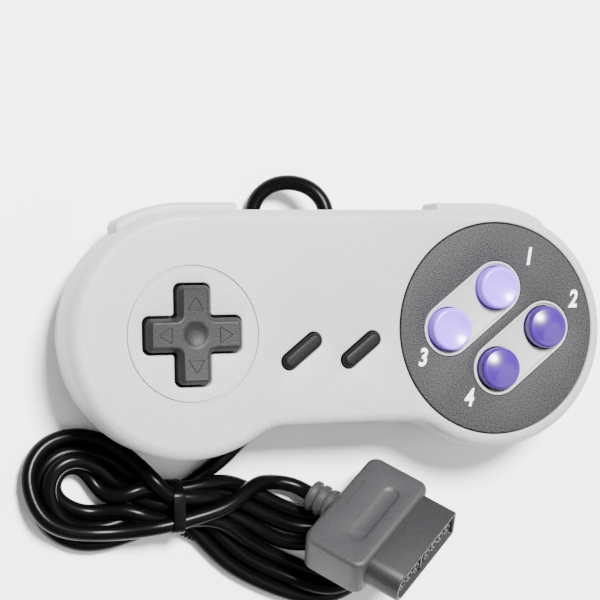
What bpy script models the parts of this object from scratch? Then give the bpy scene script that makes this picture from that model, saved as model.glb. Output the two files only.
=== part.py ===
"""A wired two-handed game controller, lying on its back, with its lead tied in a hank.

Metres, +Z up. The origin is on the surface that it lies on, under the middle of the housing.
+X runs from the direction pad to the round buttons, +Y to the edge with the shoulder buttons.
Inside this script a length is written as a number of millimetres times mm.
"""
import math

import bmesh
import bpy
from mathutils import Matrix, Vector

mm = 0.001

# Housing
LOBE_SPACING = 82.0 * mm       # between the middles of the two round lobes
LOBE_RADIUS = 30.6 * mm
WAIST_REACH = 23.3 * mm        # from the line between the lobes to the edge nearest the player
WAIST_FILLET = 14.0 * mm
THICKNESS = 25.0 * mm
PARTING_HEIGHT = 12.0 * mm     # where the two shells meet
WALL = 2.2 * mm
FACE_EDGE = 3.0 * mm           # rounding around the face
BACK_EDGE = 12.0 * mm          # rounding around the back of each lobe
BRIDGE_HEIGHT = 5.4 * mm       # the back is hollowed this far up between the lobes
CLEARANCE = 0.3 * mm           # between parts that touch
LOBE_SEGMENTS = 26

# Round buttons and their plate
PLATE_RADIUS = 27.0 * mm
PLATE_THICKNESS = 1.0 * mm
SLOT_RADIUS = 6.85 * mm        # the two lozenge recesses around the button pairs
SLOT_SINK = 0.6 * mm
BUTTON_RADIUS = 5.4 * mm
BUTTON_PROUD = 2.6 * mm
BUTTON_TRAVEL = 1.8 * mm
BUTTON_STEP_X = 13.6 * mm
BUTTON_STEP_Y = 10.4 * mm
FLANGE_EXTRA = 1.3 * mm        # a button's hidden flange is this much wider than its hole
FLANGE_THICKNESS = 1.2 * mm

# Direction pad
PAD_REACH = 12.05 * mm
PAD_ARM = 4.1 * mm             # half the width of an arm
PAD_PROUD = 3.2 * mm
PAD_GAP = 0.6 * mm
PAD_FLANGE_EXTRA = 1.9 * mm
PAD_TILT = 3.5                 # degrees each way
PAD_PIVOT_DEPTH = 5.0 * mm     # of its ball joint below the face
PIVOT_RADIUS = 2.0 * mm

# Select and start buttons
PILL_LENGTH = 12.0 * mm
PILL_WIDTH = 3.8 * mm
PILL_TILT = 38.0               # degrees
PILL_PROUD = 1.6 * mm
PILL_TRAVEL = 1.2 * mm
PILL_SPACING = 15.8 * mm
PILL_MIDDLE = (-4.9 * mm, -4.6 * mm)

# Shoulder buttons
SHOULDER_PROUD = 2.0 * mm
SHOULDER_DEPTH = 4.0 * mm      # how far each reaches inside the housing's outline
SHOULDER_NEAR = 27.0 * mm      # from the middle plane to its inner end
SHOULDER_FAR = 58.3 * mm
SHOULDER_LOW = 9.8 * mm
SHOULDER_HIGH = 19.2 * mm
SHOULDER_PIN_X = 24.0 * mm
SHOULDER_PIN_INSET = 6.3 * mm  # from the housing's outline
SHOULDER_PIN_RADIUS = 1.0 * mm
SHOULDER_SWING = 4.0           # degrees

# Inside
BOARD_LENGTH = 117.0 * mm
BOARD_WIDTH = 32.0 * mm
BOARD_THICKNESS = 1.6 * mm
DOME_HEIGHT = 3.3 * mm         # of the rubber domes, sheet included
SHEET_THICKNESS = 0.9 * mm
SCREW_RADIUS = 1.0 * mm
SCREW_HEAD_RADIUS = 2.2 * mm
SCREW_HEAD_HEIGHT = 1.6 * mm
BOSS_RADIUS = 2.8 * mm
SCREW_SEAT = 9.5 * mm          # height of the faces that the screw heads pull on

# Lead, tie and plug
CORD_RADIUS = 2.0 * mm
CORD_EXIT_X = -0.5 * mm
GLAND_RADIUS = 3.2 * mm
HANK_HEIGHT = 7.2 * mm
TIE_WALL = 1.0 * mm
PLUG_WIDTH = 33.5 * mm
PLUG_LENGTH = 17.7 * mm
PLUG_HEIGHT = 11.8 * mm
PLUG_YAW = -34.4               # degrees, as the plug leans on the hank
PLUG_PITCH = 39.0
PLUG_ROLL = -28.0
PLUG_TAIL = (1.35 * mm, -45.6 * mm)
SHROUD_WIDTH = 28.6 * mm
SHROUD_HEIGHT = 9.2 * mm
SHROUD_PROUD = 9.4 * mm
SHROUD_WALL = 1.1 * mm
MOUTH_DEPTH = 6.0 * mm         # of the open end of the shroud
POCKET_DEPTH = 8.0 * mm        # the shroud's foot sits this deep in the plug's body
CONTACT_PITCH = 3.3 * mm
RELIEF_LENGTH = 8.0 * mm
RELIEF_RADIUS = 4.5 * mm

FACE_UNDERSIDE = THICKNESS - WALL
FLANGE_TOP = FACE_UNDERSIDE - CLEARANCE
FLANGE_LOW = FLANGE_TOP - FLANGE_THICKNESS
DOME_TOP = FLANGE_LOW - BUTTON_TRAVEL - CLEARANCE
BOARD_TOP = DOME_TOP - DOME_HEIGHT - CLEARANCE
BOARD_LOW = BOARD_TOP - BOARD_THICKNESS
LOBE_X = LOBE_SPACING / 2
TOP_EDGE = LOBE_RADIUS
HOUSING_SHIFT = Vector((0, -SHOULDER_PROUD / 2, 0))


# ---------------------------------------------------------------- helpers

def clear_scene():
    for thing in list(bpy.data.objects):
        bpy.data.objects.remove(thing, do_unlink=True)


def material(name, colour, roughness, metallic=0.0):
    made = bpy.data.materials.new(name)
    made.use_nodes = True
    shader = made.node_tree.nodes["Principled BSDF"]
    shader.inputs["Base Color"].default_value = (*colour, 1.0)
    shader.inputs["Roughness"].default_value = roughness
    shader.inputs["Metallic"].default_value = metallic
    return made


def loft(mesh, rings):
    """Skin a stack of rings that have the same number of points, and close both ends."""
    stack = [[mesh.verts.new(point) for point in ring] for ring in rings]
    for low, high in zip(stack, stack[1:]):
        count = len(low)
        for i in range(count):
            j = (i + 1) % count
            mesh.faces.new((low[i], low[j], high[j], high[i]))
    mesh.faces.new(stack[0][::-1])
    mesh.faces.new(stack[-1])


def prism(mesh, outline, low, high):
    loft(mesh, [[(x, y, z) for x, y in outline] for z in (low, high)])


def circle(radius, middle=(0, 0), segments=24):
    turn = 2 * math.pi / segments
    return [
        (middle[0] + radius * math.cos(i * turn), middle[1] + radius * math.sin(i * turn))
        for i in range(segments)
    ]


def turned(mesh, profile, middle=(0, 0), segments=24):
    """A turned solid about +Z from (radius, height) pairs."""
    loft(mesh, [[(x, y, z) for x, y in circle(r, middle, segments)] for r, z in profile])


def rectangle(width, height, middle=(0, 0), corner=0.0, steps=3):
    """A rectangle, with quarter-circle corners of the given radius if there is one."""
    half_x, half_y = width / 2 - corner, height / 2 - corner
    points = []
    for k, (sx, sy) in enumerate(((1, 1), (-1, 1), (-1, -1), (1, -1))):
        for i in range(steps + 1 if corner else 1):
            angle = math.pi / 2 * (k + (i / steps if corner else 0))
            points.append((middle[0] + sx * half_x + corner * math.cos(angle),
                           middle[1] + sy * half_y + corner * math.sin(angle)))
    return points


def pill(length, width, middle=(0, 0), tilt=0.0, steps=8):
    """A straight slot outline with round ends, its long axis turned by tilt."""
    along = Vector((math.cos(tilt), math.sin(tilt)))
    points = []
    for end in (0, 1):
        centre = Vector(middle) + along * ((0.5 - end) * (length - width))
        for i in range(steps + 1):
            angle = tilt + math.pi * (end - 0.5 + i / steps)
            points.append((centre.x + width / 2 * math.cos(angle),
                           centre.y + width / 2 * math.sin(angle)))
    return points


def smooth_curve(points, per_span, closed=False):
    """Points on the Catmull-Rom curve that passes through the given ones."""
    points = [Vector(p) for p in points]
    count = len(points)
    spans = count if closed else count - 1
    curve = []
    for k in range(spans):
        if closed:
            a, b, c, d = (points[(k + j - 1) % count] for j in range(4))
        else:
            a, b, c, d = (points[min(max(k + j - 1, 0), count - 1)] for j in range(4))
        for i in range(per_span):
            t = i / per_span
            curve.append(0.5 * (2 * b + (c - a) * t + (2 * a - 5 * b + 4 * c - d) * t ** 2
                                + (3 * b - a - 3 * c + d) * t ** 3))
    if not closed:
        curve.append(points[-1])
    return curve


def finish(name, mesh, finish_material, parent, location=(0, 0, 0)):
    """Make the object, drop it on its parent and shade its curved faces smooth."""
    bmesh.ops.recalc_face_normals(mesh, faces=mesh.faces)
    data = bpy.data.meshes.new(name)
    mesh.to_mesh(data)
    mesh.free()
    thing = bpy.data.objects.new(name, data)
    bpy.context.scene.collection.objects.link(thing)
    thing.parent = parent
    thing.location = location
    if finish_material:
        data.materials.append(finish_material)
        data.shade_smooth()
        data.set_sharp_from_angle(angle=math.radians(35))
    return thing


def shape(name, build, finish_material, parent, location=(0, 0, 0)):
    """An object whose mesh is filled by build(mesh) in the parent's coordinates.

    The mesh is moved so that the object's origin can be at the given location.
    """
    mesh = bmesh.new()
    build(mesh)
    bmesh.ops.translate(mesh, verts=mesh.verts, vec=-Vector(location))
    return finish(name, mesh, finish_material, parent, location)


def combine(target, other, operation):
    """A live Boolean; the other object becomes a hidden guide."""
    other.hide_render = True
    other.display_type = "WIRE"
    modifier = target.modifiers.new(other.name, "BOOLEAN")
    modifier.operation = operation
    modifier.solver = "EXACT"
    modifier.object = other


def cut(target, name, build, parent):
    combine(target, shape(name, build, None, parent), "DIFFERENCE")


def add(target, name, build, parent):
    combine(target, shape(name, build, None, parent), "UNION")


# ---------------------------------------------------------------- housing outline

def housing_outline(inset):
    """The plan of the housing: two lobes, a straight far edge and a waist on the near side.

    Every arc keeps its centre, so the outline can be offset inward by any inset.
    """
    radius = LOBE_RADIUS - inset
    fillet = WAIST_FILLET + inset
    waist = WAIST_REACH - inset
    drop = waist + fillet
    reach = math.sqrt((radius + fillet) ** 2 - drop ** 2)
    fillet_x = LOBE_X - reach
    leave = math.atan2(-drop, -reach)
    points = []
    for i in range(LOBE_SEGMENTS + 1):
        angle = math.pi / 2 + (leave - math.pi / 2) * i / LOBE_SEGMENTS
        points.append((LOBE_X + radius * math.cos(angle), radius * math.sin(angle)))
    steps = 5
    for i in range(1, steps + 1):
        angle = leave + math.pi + (math.pi / 2 - leave - math.pi) * i / steps
        points.append((fillet_x + fillet * math.cos(angle), -drop + fillet * math.sin(angle)))
    right = points
    left = [(-x, y) for x, y in reversed(right)]
    return right + left


def face_inset(height):
    """How far the outside draws in near the face: a quarter circle."""
    rise = max(0.0, height - (THICKNESS - FACE_EDGE))
    return FACE_EDGE - math.sqrt(max(0.0, FACE_EDGE ** 2 - rise ** 2))


def back_inset(height):
    """How far the outside draws in towards the back: a quarter ellipse."""
    drop = (PARTING_HEIGHT - height) / PARTING_HEIGHT
    return BACK_EDGE * (1 - math.sqrt(max(0.0, 1 - drop ** 2)))


def outline_rings(levels):
    return [[(x, y, z) for x, y in housing_outline(inset)] for inset, z in levels]


def side(sign, point):
    return (sign * point[0], point[1])


def slot_ends():
    """The pairs of round buttons that share a recess, as offsets from the plate's middle."""
    top, left = Vector((0, BUTTON_STEP_Y)), Vector((-BUTTON_STEP_X, 0))
    return ((left, top), (-top, -left))


def slot_outline(pair, grow):
    middle = (pair[0] + pair[1]) / 2 + Vector((LOBE_X, 0))
    run = pair[1] - pair[0]
    width = 2 * (SLOT_RADIUS + grow)
    return pill(run.length + width, width, middle, math.atan2(run.y, run.x), steps=12)


def button_places():
    """Name and place of each round button."""
    return {
        "button_top": (LOBE_X, BUTTON_STEP_Y),
        "button_left": (LOBE_X - BUTTON_STEP_X, 0),
        "button_right": (LOBE_X + BUTTON_STEP_X, 0),
        "button_bottom": (LOBE_X, -BUTTON_STEP_Y),
    }


def pill_places():
    x, y = PILL_MIDDLE
    return {
        "select_button": (x - PILL_SPACING / 2, y),
        "start_button": (x + PILL_SPACING / 2, y),
    }


def screw_places():
    """Two screws in each lobe and one in the bridge, clear of the board."""
    ring = LOBE_RADIUS - WALL - BOSS_RADIUS - 1.4 * mm
    places = []
    for sign in (-1, 1):
        for angle in (170, -80):
            turn = math.radians(angle)
            places.append((-sign * (-LOBE_X + ring * math.cos(turn)), ring * math.sin(turn)))
    places.append((0.0, 8.0 * mm))
    return places


def cross_outline(reach, arm):
    points = []
    for k in range(4):
        turn = Matrix.Rotation(math.pi / 2 * k, 2)
        for corner in ((reach, -arm), (reach, arm), (arm, arm)):
            point = turn @ Vector(corner)
            points.append((point.x - LOBE_X, point.y))
    return points


# ---------------------------------------------------------------- shells

def make_shells(parent, grey):
    gap = PARTING_HEIGHT - CLEARANCE

    def face_body(mesh):
        levels = [(0.0, PARTING_HEIGHT)]
        for k in range(5):
            rise = math.pi / 2 * k / 4
            height = THICKNESS - FACE_EDGE + FACE_EDGE * math.sin(rise)
            levels.append((face_inset(height), height))
        loft(mesh, outline_rings(levels))

    def face_hollow(mesh):
        round_start = FACE_UNDERSIDE - FACE_EDGE + WALL
        loft(mesh, outline_rings([
            (WALL, PARTING_HEIGHT - WALL), (WALL, round_start),
            (WALL + (FACE_UNDERSIDE - round_start), FACE_UNDERSIDE),
        ]))

    front = shape("front_shell", face_body, grey, parent)
    cut(front, "cut_face_hollow", face_hollow, parent)

    def face_posts(mesh):
        for place in screw_places():
            turned(mesh, [(BOSS_RADIUS, PARTING_HEIGHT + CLEARANCE),
                          (BOSS_RADIUS, FACE_UNDERSIDE + WALL / 4)], place, 12)
        for sign in (-1, 1):
            turned(mesh, [(2.4 * mm, SHOULDER_HIGH + 0.8 * mm),
                          (2.4 * mm, FACE_UNDERSIDE + WALL / 4)], shoulder_pin(sign), 12)

    add(front, "add_face_posts", face_posts, parent)

    def face_holes(mesh):
        prism(mesh, cross_outline(PAD_REACH + PAD_GAP, PAD_ARM + PAD_GAP),
              FACE_UNDERSIDE - WALL, THICKNESS + WALL)
        for place in pill_places().values():
            prism(mesh, pill(PILL_LENGTH + 2 * CLEARANCE, PILL_WIDTH + 2 * CLEARANCE, place,
                             math.radians(PILL_TILT)), FACE_UNDERSIDE - WALL, THICKNESS + WALL)
        for place in button_places().values():
            turned(mesh, [(BUTTON_RADIUS + CLEARANCE, FACE_UNDERSIDE - WALL),
                          (BUTTON_RADIUS + CLEARANCE, THICKNESS + WALL)], place, 24)
        for place in screw_places():
            turned(mesh, [(SCREW_RADIUS + 0.15 * mm, PARTING_HEIGHT - WALL),
                          (SCREW_RADIUS + 0.15 * mm, FACE_UNDERSIDE - WALL)], place, 12)
        for sign in (-1, 1):
            turned(mesh, [(SHOULDER_PIN_RADIUS + 0.15 * mm, SHOULDER_HIGH - WALL),
                          (SHOULDER_PIN_RADIUS + 0.15 * mm, FACE_UNDERSIDE)],
                   shoulder_pin(sign), 12)

    cut(front, "cut_face_holes", face_holes, parent)

    seat = THICKNESS - PLATE_THICKNESS - CLEARANCE

    def plate_seat(mesh):
        turned(mesh, [(PLATE_RADIUS + CLEARANCE, seat), (PLATE_RADIUS + CLEARANCE, THICKNESS + WALL)],
               (LOBE_X, 0), 60)

    def slot_islands(mesh):
        for pair in slot_ends():
            prism(mesh, slot_outline(pair, 0.0), seat - WALL, THICKNESS - SLOT_SINK)

    seat_cutter = shape("cut_plate_seat", plate_seat, None, parent)
    combine(seat_cutter, shape("keep_slot_islands", slot_islands, None, parent), "DIFFERENCE")
    combine(front, seat_cutter, "DIFFERENCE")

    def bridge(mesh):
        levels = [(back_inset(BRIDGE_HEIGHT) + 1.2 * mm, BRIDGE_HEIGHT)]
        for height in (BRIDGE_HEIGHT + 1.2 * mm, gap):
            levels.append((back_inset(height), height))
        loft(mesh, outline_rings(levels))

    def lobe_backs(mesh, inset, low):
        """Both lobes' backs; a hair smaller than the bridge's outline, which they run into."""
        hair = 0.04 * mm
        for sign in (-1, 1):
            profile = []
            for k in range(5):
                angle = math.pi / 2 * k / 5
                height = PARTING_HEIGHT * (1 - math.cos(angle))
                if height > BRIDGE_HEIGHT + 1.4 * mm:
                    break
                radius = LOBE_RADIUS - BACK_EDGE * (1 - math.sin(angle))
                profile.append((radius - inset - hair, max(height, low)))
            profile.append((LOBE_RADIUS - back_inset(BRIDGE_HEIGHT + 2 * mm) - inset - hair,
                            BRIDGE_HEIGHT + 2.0 * mm + inset))
            turned(mesh, profile, (sign * LOBE_X, 0), 32)

    rear = shape("rear_shell", bridge, grey, parent)
    add(rear, "add_lobe_backs", lambda mesh: lobe_backs(mesh, 0.0, 0.0), parent)

    def bridge_hollow(mesh):
        floor = BRIDGE_HEIGHT + WALL
        loft(mesh, outline_rings([
            (back_inset(floor) + WALL, floor), (WALL, PARTING_HEIGHT + WALL)]))

    def lobe_hollows(mesh):
        for sign in (-1, 1):
            flat = LOBE_RADIUS - BACK_EDGE - WALL / 2
            top = BRIDGE_HEIGHT + WALL + 0.5 * mm
            turned(mesh, [
                (flat, WALL), (flat + BACK_EDGE * 0.45, WALL + 1.2 * mm),
                (flat + BACK_EDGE * 0.74, WALL + 3.6 * mm),
                (LOBE_RADIUS - WALL - back_inset(top) - 0.3 * mm, top),
            ], (sign * LOBE_X, 0), 24)

    cut(rear, "cut_bridge_hollow", bridge_hollow, parent)
    cut(rear, "cut_lobe_hollows", lobe_hollows, parent)

    def rear_posts(mesh):
        for place in screw_places():
            foot = BRIDGE_HEIGHT + WALL / 2 if abs(place[0]) < LOBE_X / 2 else 5.2 * mm
            turned(mesh, [(BOSS_RADIUS + 1.0 * mm, foot),
                          (BOSS_RADIUS + 1.0 * mm, gap)], place, 14)

    def rear_holes(mesh):
        for place in screw_places():
            turned(mesh, [
                (SCREW_HEAD_RADIUS + CLEARANCE, -WALL), (SCREW_HEAD_RADIUS + CLEARANCE, SCREW_SEAT),
                (SCREW_RADIUS + CLEARANCE, SCREW_SEAT), (SCREW_RADIUS + CLEARANCE, PARTING_HEIGHT + WALL),
            ], place, 12)

    add(rear, "add_rear_posts", rear_posts, parent)
    cut(rear, "cut_rear_holes", rear_holes, parent)

    def wall_openings(mesh):
        margin = CLEARANCE
        for sign in (-1, 1):
            band = shoulder_band(sign, SHOULDER_PROUD + WALL, -SHOULDER_DEPTH - WALL, margin)
            prism(mesh, band, SHOULDER_LOW - margin, SHOULDER_HIGH + margin)
        hole = [(CORD_EXIT_X + x, TOP_EDGE + WALL, PARTING_HEIGHT + z)
                for x, z in circle(GLAND_RADIUS + CLEARANCE, segments=20)]
        loft(mesh, [hole, [(x, TOP_EDGE - 2 * WALL, z) for x, y, z in hole]])

    for shell, name in ((front, "front"), (rear, "rear")):
        cut(shell, f"cut_{name}_openings", wall_openings, parent)


# ---------------------------------------------------------------- buttons

def make_plate(parent, dark):
    def disc(mesh):
        turned(mesh, [(PLATE_RADIUS, THICKNESS - PLATE_THICKNESS), (PLATE_RADIUS, THICKNESS)],
               (LOBE_X, 0), 60)

    def slots(mesh):
        for pair in slot_ends():
            prism(mesh, slot_outline(pair, CLEARANCE), THICKNESS - 2 * WALL, THICKNESS + WALL)

    plate = shape("button_plate", disc, dark, parent)
    cut(plate, "cut_plate_slots", slots, parent)


def make_round_buttons(parent, colours):
    top = THICKNESS + BUTTON_PROUD
    flange = BUTTON_RADIUS + CLEARANCE + FLANGE_EXTRA
    bore = BUTTON_RADIUS - 1.6 * mm
    for name, place in button_places().items():
        domed = name in ("button_right", "button_bottom")
        crown = 0.9 * mm if domed else -0.6 * mm
        profile = [
            (bore, top - 2.6 * mm), (bore, FLANGE_LOW), (flange, FLANGE_LOW), (flange, FLANGE_TOP),
            (BUTTON_RADIUS, FLANGE_TOP), (BUTTON_RADIUS, top - 0.9 * mm),
            (BUTTON_RADIUS - 0.3 * mm, top - 0.3 * mm), (BUTTON_RADIUS - 1.0 * mm, top),
            (BUTTON_RADIUS * 0.45, top + crown * 0.8), (0.8 * mm, top + crown),
        ]
        shape(name, lambda mesh: turned(mesh, profile, place, 24), colours[domed], parent,
              (*place, FLANGE_LOW))


def make_pad(parent, dark, pivot_colour):
    # Tilted both ways at once, the flange's rim rises by this much.
    rim_rise = (PAD_REACH + PAD_FLANGE_EXTRA) * math.sin(math.radians(PAD_TILT)) * math.sqrt(2)
    flange_top = FACE_UNDERSIDE - rim_rise - 0.1 * mm
    flange_low = flange_top - FLANGE_THICKNESS
    pivot_height = THICKNESS - PAD_PIVOT_DEPTH
    joint = bpy.data.objects.new("direction_pad_joint", None)
    bpy.context.scene.collection.objects.link(joint)
    joint.parent = parent
    joint.location = (-LOBE_X, 0, pivot_height)
    local = Vector(joint.location)

    def cross(mesh):
        levels = [(0.0, flange_top - 0.2 * mm), (0.0, THICKNESS + 0.4 * PAD_PROUD),
                  (0.35 * mm, THICKNESS + 0.8 * PAD_PROUD), (1.1 * mm, THICKNESS + PAD_PROUD)]
        loft(mesh, [[(x, y, z) for x, y in cross_outline(PAD_REACH - inset, PAD_ARM - inset)]
                    for inset, z in levels])
        bmesh.ops.translate(mesh, verts=mesh.verts, vec=-local)

    def flange(mesh):
        radius = PAD_REACH + PAD_FLANGE_EXTRA
        turned(mesh, [(radius, flange_low), (radius, flange_top)], (-LOBE_X, 0), 32)
        bmesh.ops.translate(mesh, verts=mesh.verts, vec=-local)

    def dimple(mesh):
        bmesh.ops.create_uvsphere(mesh, u_segments=16, v_segments=10, radius=6.0 * mm,
                                  matrix=Matrix.Translation((0, 0, PAD_PIVOT_DEPTH + PAD_PROUD + 5.0 * mm)))

    pad = shape("direction_pad", cross, dark, joint)
    add(pad, "add_pad_flange", flange, joint)
    cut(pad, "cut_pad_dimple", dimple, joint)

    def ball(mesh):
        top = flange_low - CLEARANCE
        low = BOARD_TOP + 2 * CLEARANCE
        turned(mesh, [
            (PIVOT_RADIUS + 0.4 * mm, low), (PIVOT_RADIUS, low + 1.0 * mm),
            (PIVOT_RADIUS, top - 1.2 * mm), (PIVOT_RADIUS * 0.85, top - 0.5 * mm),
            (PIVOT_RADIUS * 0.4, top),
        ], (-LOBE_X, 0), 16)
        bmesh.ops.translate(mesh, verts=mesh.verts, vec=-local)

    shape("pad_pivot", ball, pivot_colour, joint)


def make_pills(parent, dark):
    tilt = math.radians(PILL_TILT)
    for name, place in pill_places().items():
        def body(mesh):
            top = THICKNESS + PILL_PROUD
            levels = [(-1.0 * mm, FLANGE_LOW), (-1.0 * mm, FLANGE_TOP), (0.0, FLANGE_TOP),
                      (0.0, top - 0.7 * mm), (0.3 * mm, top - 0.2 * mm), (0.9 * mm, top)]
            outlines = [pill(PILL_LENGTH - 2 * inset, PILL_WIDTH - 2 * inset, place, tilt)
                        for inset, _ in levels]
            loft(mesh, [[(x, y, z) for x, y in ring] for ring, (_, z) in zip(outlines, levels)])
        shape(name, body, dark, parent, (*place, FLANGE_LOW))


def shoulder_pin(sign):
    return (sign * SHOULDER_PIN_X, TOP_EDGE - SHOULDER_PIN_INSET)


def shoulder_band(sign, outside, inside, margin):
    """A strip that follows the housing's outline, between two offsets from it, cut at two planes.

    The outer part follows the lobe's circle and the inner part the straight far edge.
    """
    near, far = SHOULDER_NEAR - margin, SHOULDER_FAR + margin
    edges = []
    for offset in (outside, inside):
        radius = LOBE_RADIUS + offset
        points = [(near, radius)]
        for i in range(9):
            x = LOBE_X + (far - LOBE_X) * i / 8
            points.append((x, math.sqrt(radius ** 2 - (x - LOBE_X) ** 2)))
        edges.append(points)
    return [side(sign, p) for p in edges[0] + edges[1][::-1]]


def make_shoulders(parent, grey, steel):
    for sign, name in ((-1, "left"), (1, "right")):
        pin = shoulder_pin(sign)

        def cap(mesh):
            bevel = 0.8 * mm
            rings = []
            for inset, z in ((bevel, SHOULDER_LOW), (0, SHOULDER_LOW + bevel),
                             (0, SHOULDER_HIGH - bevel), (bevel, SHOULDER_HIGH)):
                band = shoulder_band(sign, SHOULDER_PROUD - inset, -SHOULDER_DEPTH, -inset)
                rings.append([(x, y, z) for x, y in band])
            loft(mesh, rings)

        def lever(mesh):
            arm_length = SHOULDER_NEAR + 5 * mm - SHOULDER_PIN_X
            middle = side(sign, (SHOULDER_PIN_X + arm_length / 2, pin[1] + 1.2 * mm))
            prism(mesh, rectangle(arm_length, 3.4 * mm, middle),
                  SHOULDER_LOW + 1.5 * mm, SHOULDER_HIGH - 1.5 * mm)

        def barrel(mesh):
            turned(mesh, [(2.4 * mm, SHOULDER_LOW + 0.5 * mm), (2.4 * mm, SHOULDER_HIGH)], pin, 16)

        def eye(mesh):
            turned(mesh, [(SHOULDER_PIN_RADIUS + 0.15 * mm, SHOULDER_LOW - WALL),
                          (SHOULDER_PIN_RADIUS + 0.15 * mm, SHOULDER_HIGH + WALL)], pin, 12)

        button = shape(f"shoulder_button_{name}", cap, grey, parent, (*pin, SHOULDER_LOW))
        add(button, f"add_lever_{name}", lever, parent)
        add(button, f"add_barrel_{name}", barrel, parent)
        cut(button, f"cut_eye_{name}", eye, parent)

        shape(f"shoulder_pin_{name}", lambda mesh: turned(mesh, [
            (SHOULDER_PIN_RADIUS, BRIDGE_HEIGHT + WALL + CLEARANCE),
            (SHOULDER_PIN_RADIUS, FACE_UNDERSIDE - CLEARANCE)], pin, 12), steel, parent)


# ---------------------------------------------------------------- inside

def make_rubber(parent, rubber):
    low = BOARD_TOP + CLEARANCE

    def sheet(name, outline, domes, radius, height, hole=None):
        made = shape(name, lambda mesh: prism(mesh, outline, low, low + SHEET_THICKNESS), rubber, parent)

        def cones(mesh):
            for place in domes:
                turned(mesh, [(radius, low + SHEET_THICKNESS / 2), (radius * 0.6, low + height)], place, 12)

        def cups(mesh):
            for place in domes:
                turned(mesh, [(radius * 0.75, low - SHEET_THICKNESS),
                              (radius * 0.45, low + height * 0.6)], place, 12)
            if hole:
                turned(mesh, [(hole, low - SHEET_THICKNESS), (hole, low + height)], (-LOBE_X, 0), 16)

        add(made, f"add_{name}_domes", cones, parent)
        cut(made, f"cut_{name}_cups", cups, parent)

    reach = BUTTON_STEP_X + 4.5 * mm
    sheet("action_membrane", [(LOBE_X + x, y) for x, y in (
        (reach, -6 * mm), (reach, 6 * mm), (6 * mm, 15 * mm), (-6 * mm, 15 * mm),
        (-reach, 6 * mm), (-reach, -6 * mm), (-6 * mm, -15 * mm), (6 * mm, -15 * mm))],
        list(button_places().values()), 4.0 * mm, DOME_HEIGHT)
    step = PAD_REACH * 0.7
    pad_dome = DOME_HEIGHT - 0.6 * mm
    sheet("pad_membrane", circle(PAD_REACH + 2.0 * mm, (-LOBE_X, 0), 24),
          [(-LOBE_X + step * dx, step * dy) for dx, dy in ((1, 0), (0, 1), (-1, 0), (0, -1))],
          3.0 * mm, pad_dome, PIVOT_RADIUS + 1.4 * mm)
    sheet("select_start_membrane", rectangle(PILL_SPACING + 11 * mm, 11.5 * mm, PILL_MIDDLE, 2 * mm),
          list(pill_places().values()), 2.8 * mm, DOME_HEIGHT)


def make_boards(parent, green, chip_black, rubber, aluminium, ivory, wire_red):
    def board(mesh):
        prism(mesh, rectangle(BOARD_LENGTH, BOARD_WIDTH, (0, 0), 7 * mm), BOARD_LOW, BOARD_TOP)

    main = shape("main_board", board, green, parent)
    middle_screw = screw_places()[-1]
    cut(main, "cut_board_hole", lambda mesh: turned(mesh, [
        (BOSS_RADIUS + CLEARANCE, BOARD_LOW - WALL), (BOSS_RADIUS + CLEARANCE, BOARD_TOP + WALL)],
        middle_screw, 16), parent)

    under = BOARD_LOW - CLEARANCE
    shape("encoder_chip", lambda mesh: prism(
        mesh, rectangle(18 * mm, 7.5 * mm, (22 * mm, 0)), under - 2.6 * mm, under), chip_black, parent)
    shape("capacitor", lambda mesh: turned(mesh, [
        (2.4 * mm, under - 3.6 * mm), (2.5 * mm, under - 3.3 * mm), (2.5 * mm, under)],
        (-16 * mm, -6 * mm), 16), aluminium, parent)
    header_y = 14.2 * mm
    shape("lead_header", lambda mesh: prism(
        mesh, rectangle(11 * mm, 3.4 * mm, (CORD_EXIT_X, header_y)), under - 3.2 * mm, under), ivory, parent)

    lead_end = TOP_EDGE - 9 * mm
    cable("lead_wires", [
        (CORD_EXIT_X, lead_end - 0.6 * mm, PARTING_HEIGHT),
        (CORD_EXIT_X, lead_end - 2.0 * mm, PARTING_HEIGHT),
        (CORD_EXIT_X, header_y + 3.3 * mm, under - 1.8 * mm),
        (CORD_EXIT_X, header_y + 2.0 * mm, under - 1.8 * mm),
    ], 1.2 * mm, 3, wire_red, parent, sides=1)

    for sign, name in ((-1, "left"), (1, "right")):
        middle_x = 48 * mm
        back = TOP_EDGE - 11.6 * mm
        shape(f"shoulder_board_{name}", lambda mesh: prism(
            mesh, rectangle(11 * mm, 1.2 * mm, side(sign, (middle_x, back))),
            SHOULDER_LOW - 0.6 * mm, SHOULDER_HIGH - 0.4 * mm), green, parent)

        def dome(mesh):
            face = back + 0.6 * mm + CLEARANCE
            middle_z = (SHOULDER_LOW + SHOULDER_HIGH) / 2
            rings = []
            for radius, y in ((3.2 * mm, face), (3.2 * mm, face + 0.8 * mm), (1.8 * mm, face + 2.4 * mm)):
                rings.append([(sign * middle_x + a, y, middle_z + b)
                              for a, b in circle(radius, segments=14)])
            loft(mesh, rings)

        shape(f"shoulder_dome_{name}", dome, rubber, parent)
        cable(f"shoulder_wires_{name}", [
            (sign * middle_x, BOARD_WIDTH / 2 - 2 * mm, BOARD_LOW - 1.0 * mm),
            (sign * middle_x, BOARD_WIDTH / 2 - 0.5 * mm, BOARD_LOW - 2.0 * mm),
            (sign * middle_x, back - 0.6 * mm - 0.9 * mm, BOARD_LOW - 3.2 * mm),
        ], 0.6 * mm, 2, wire_red, parent, sides=1)


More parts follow.
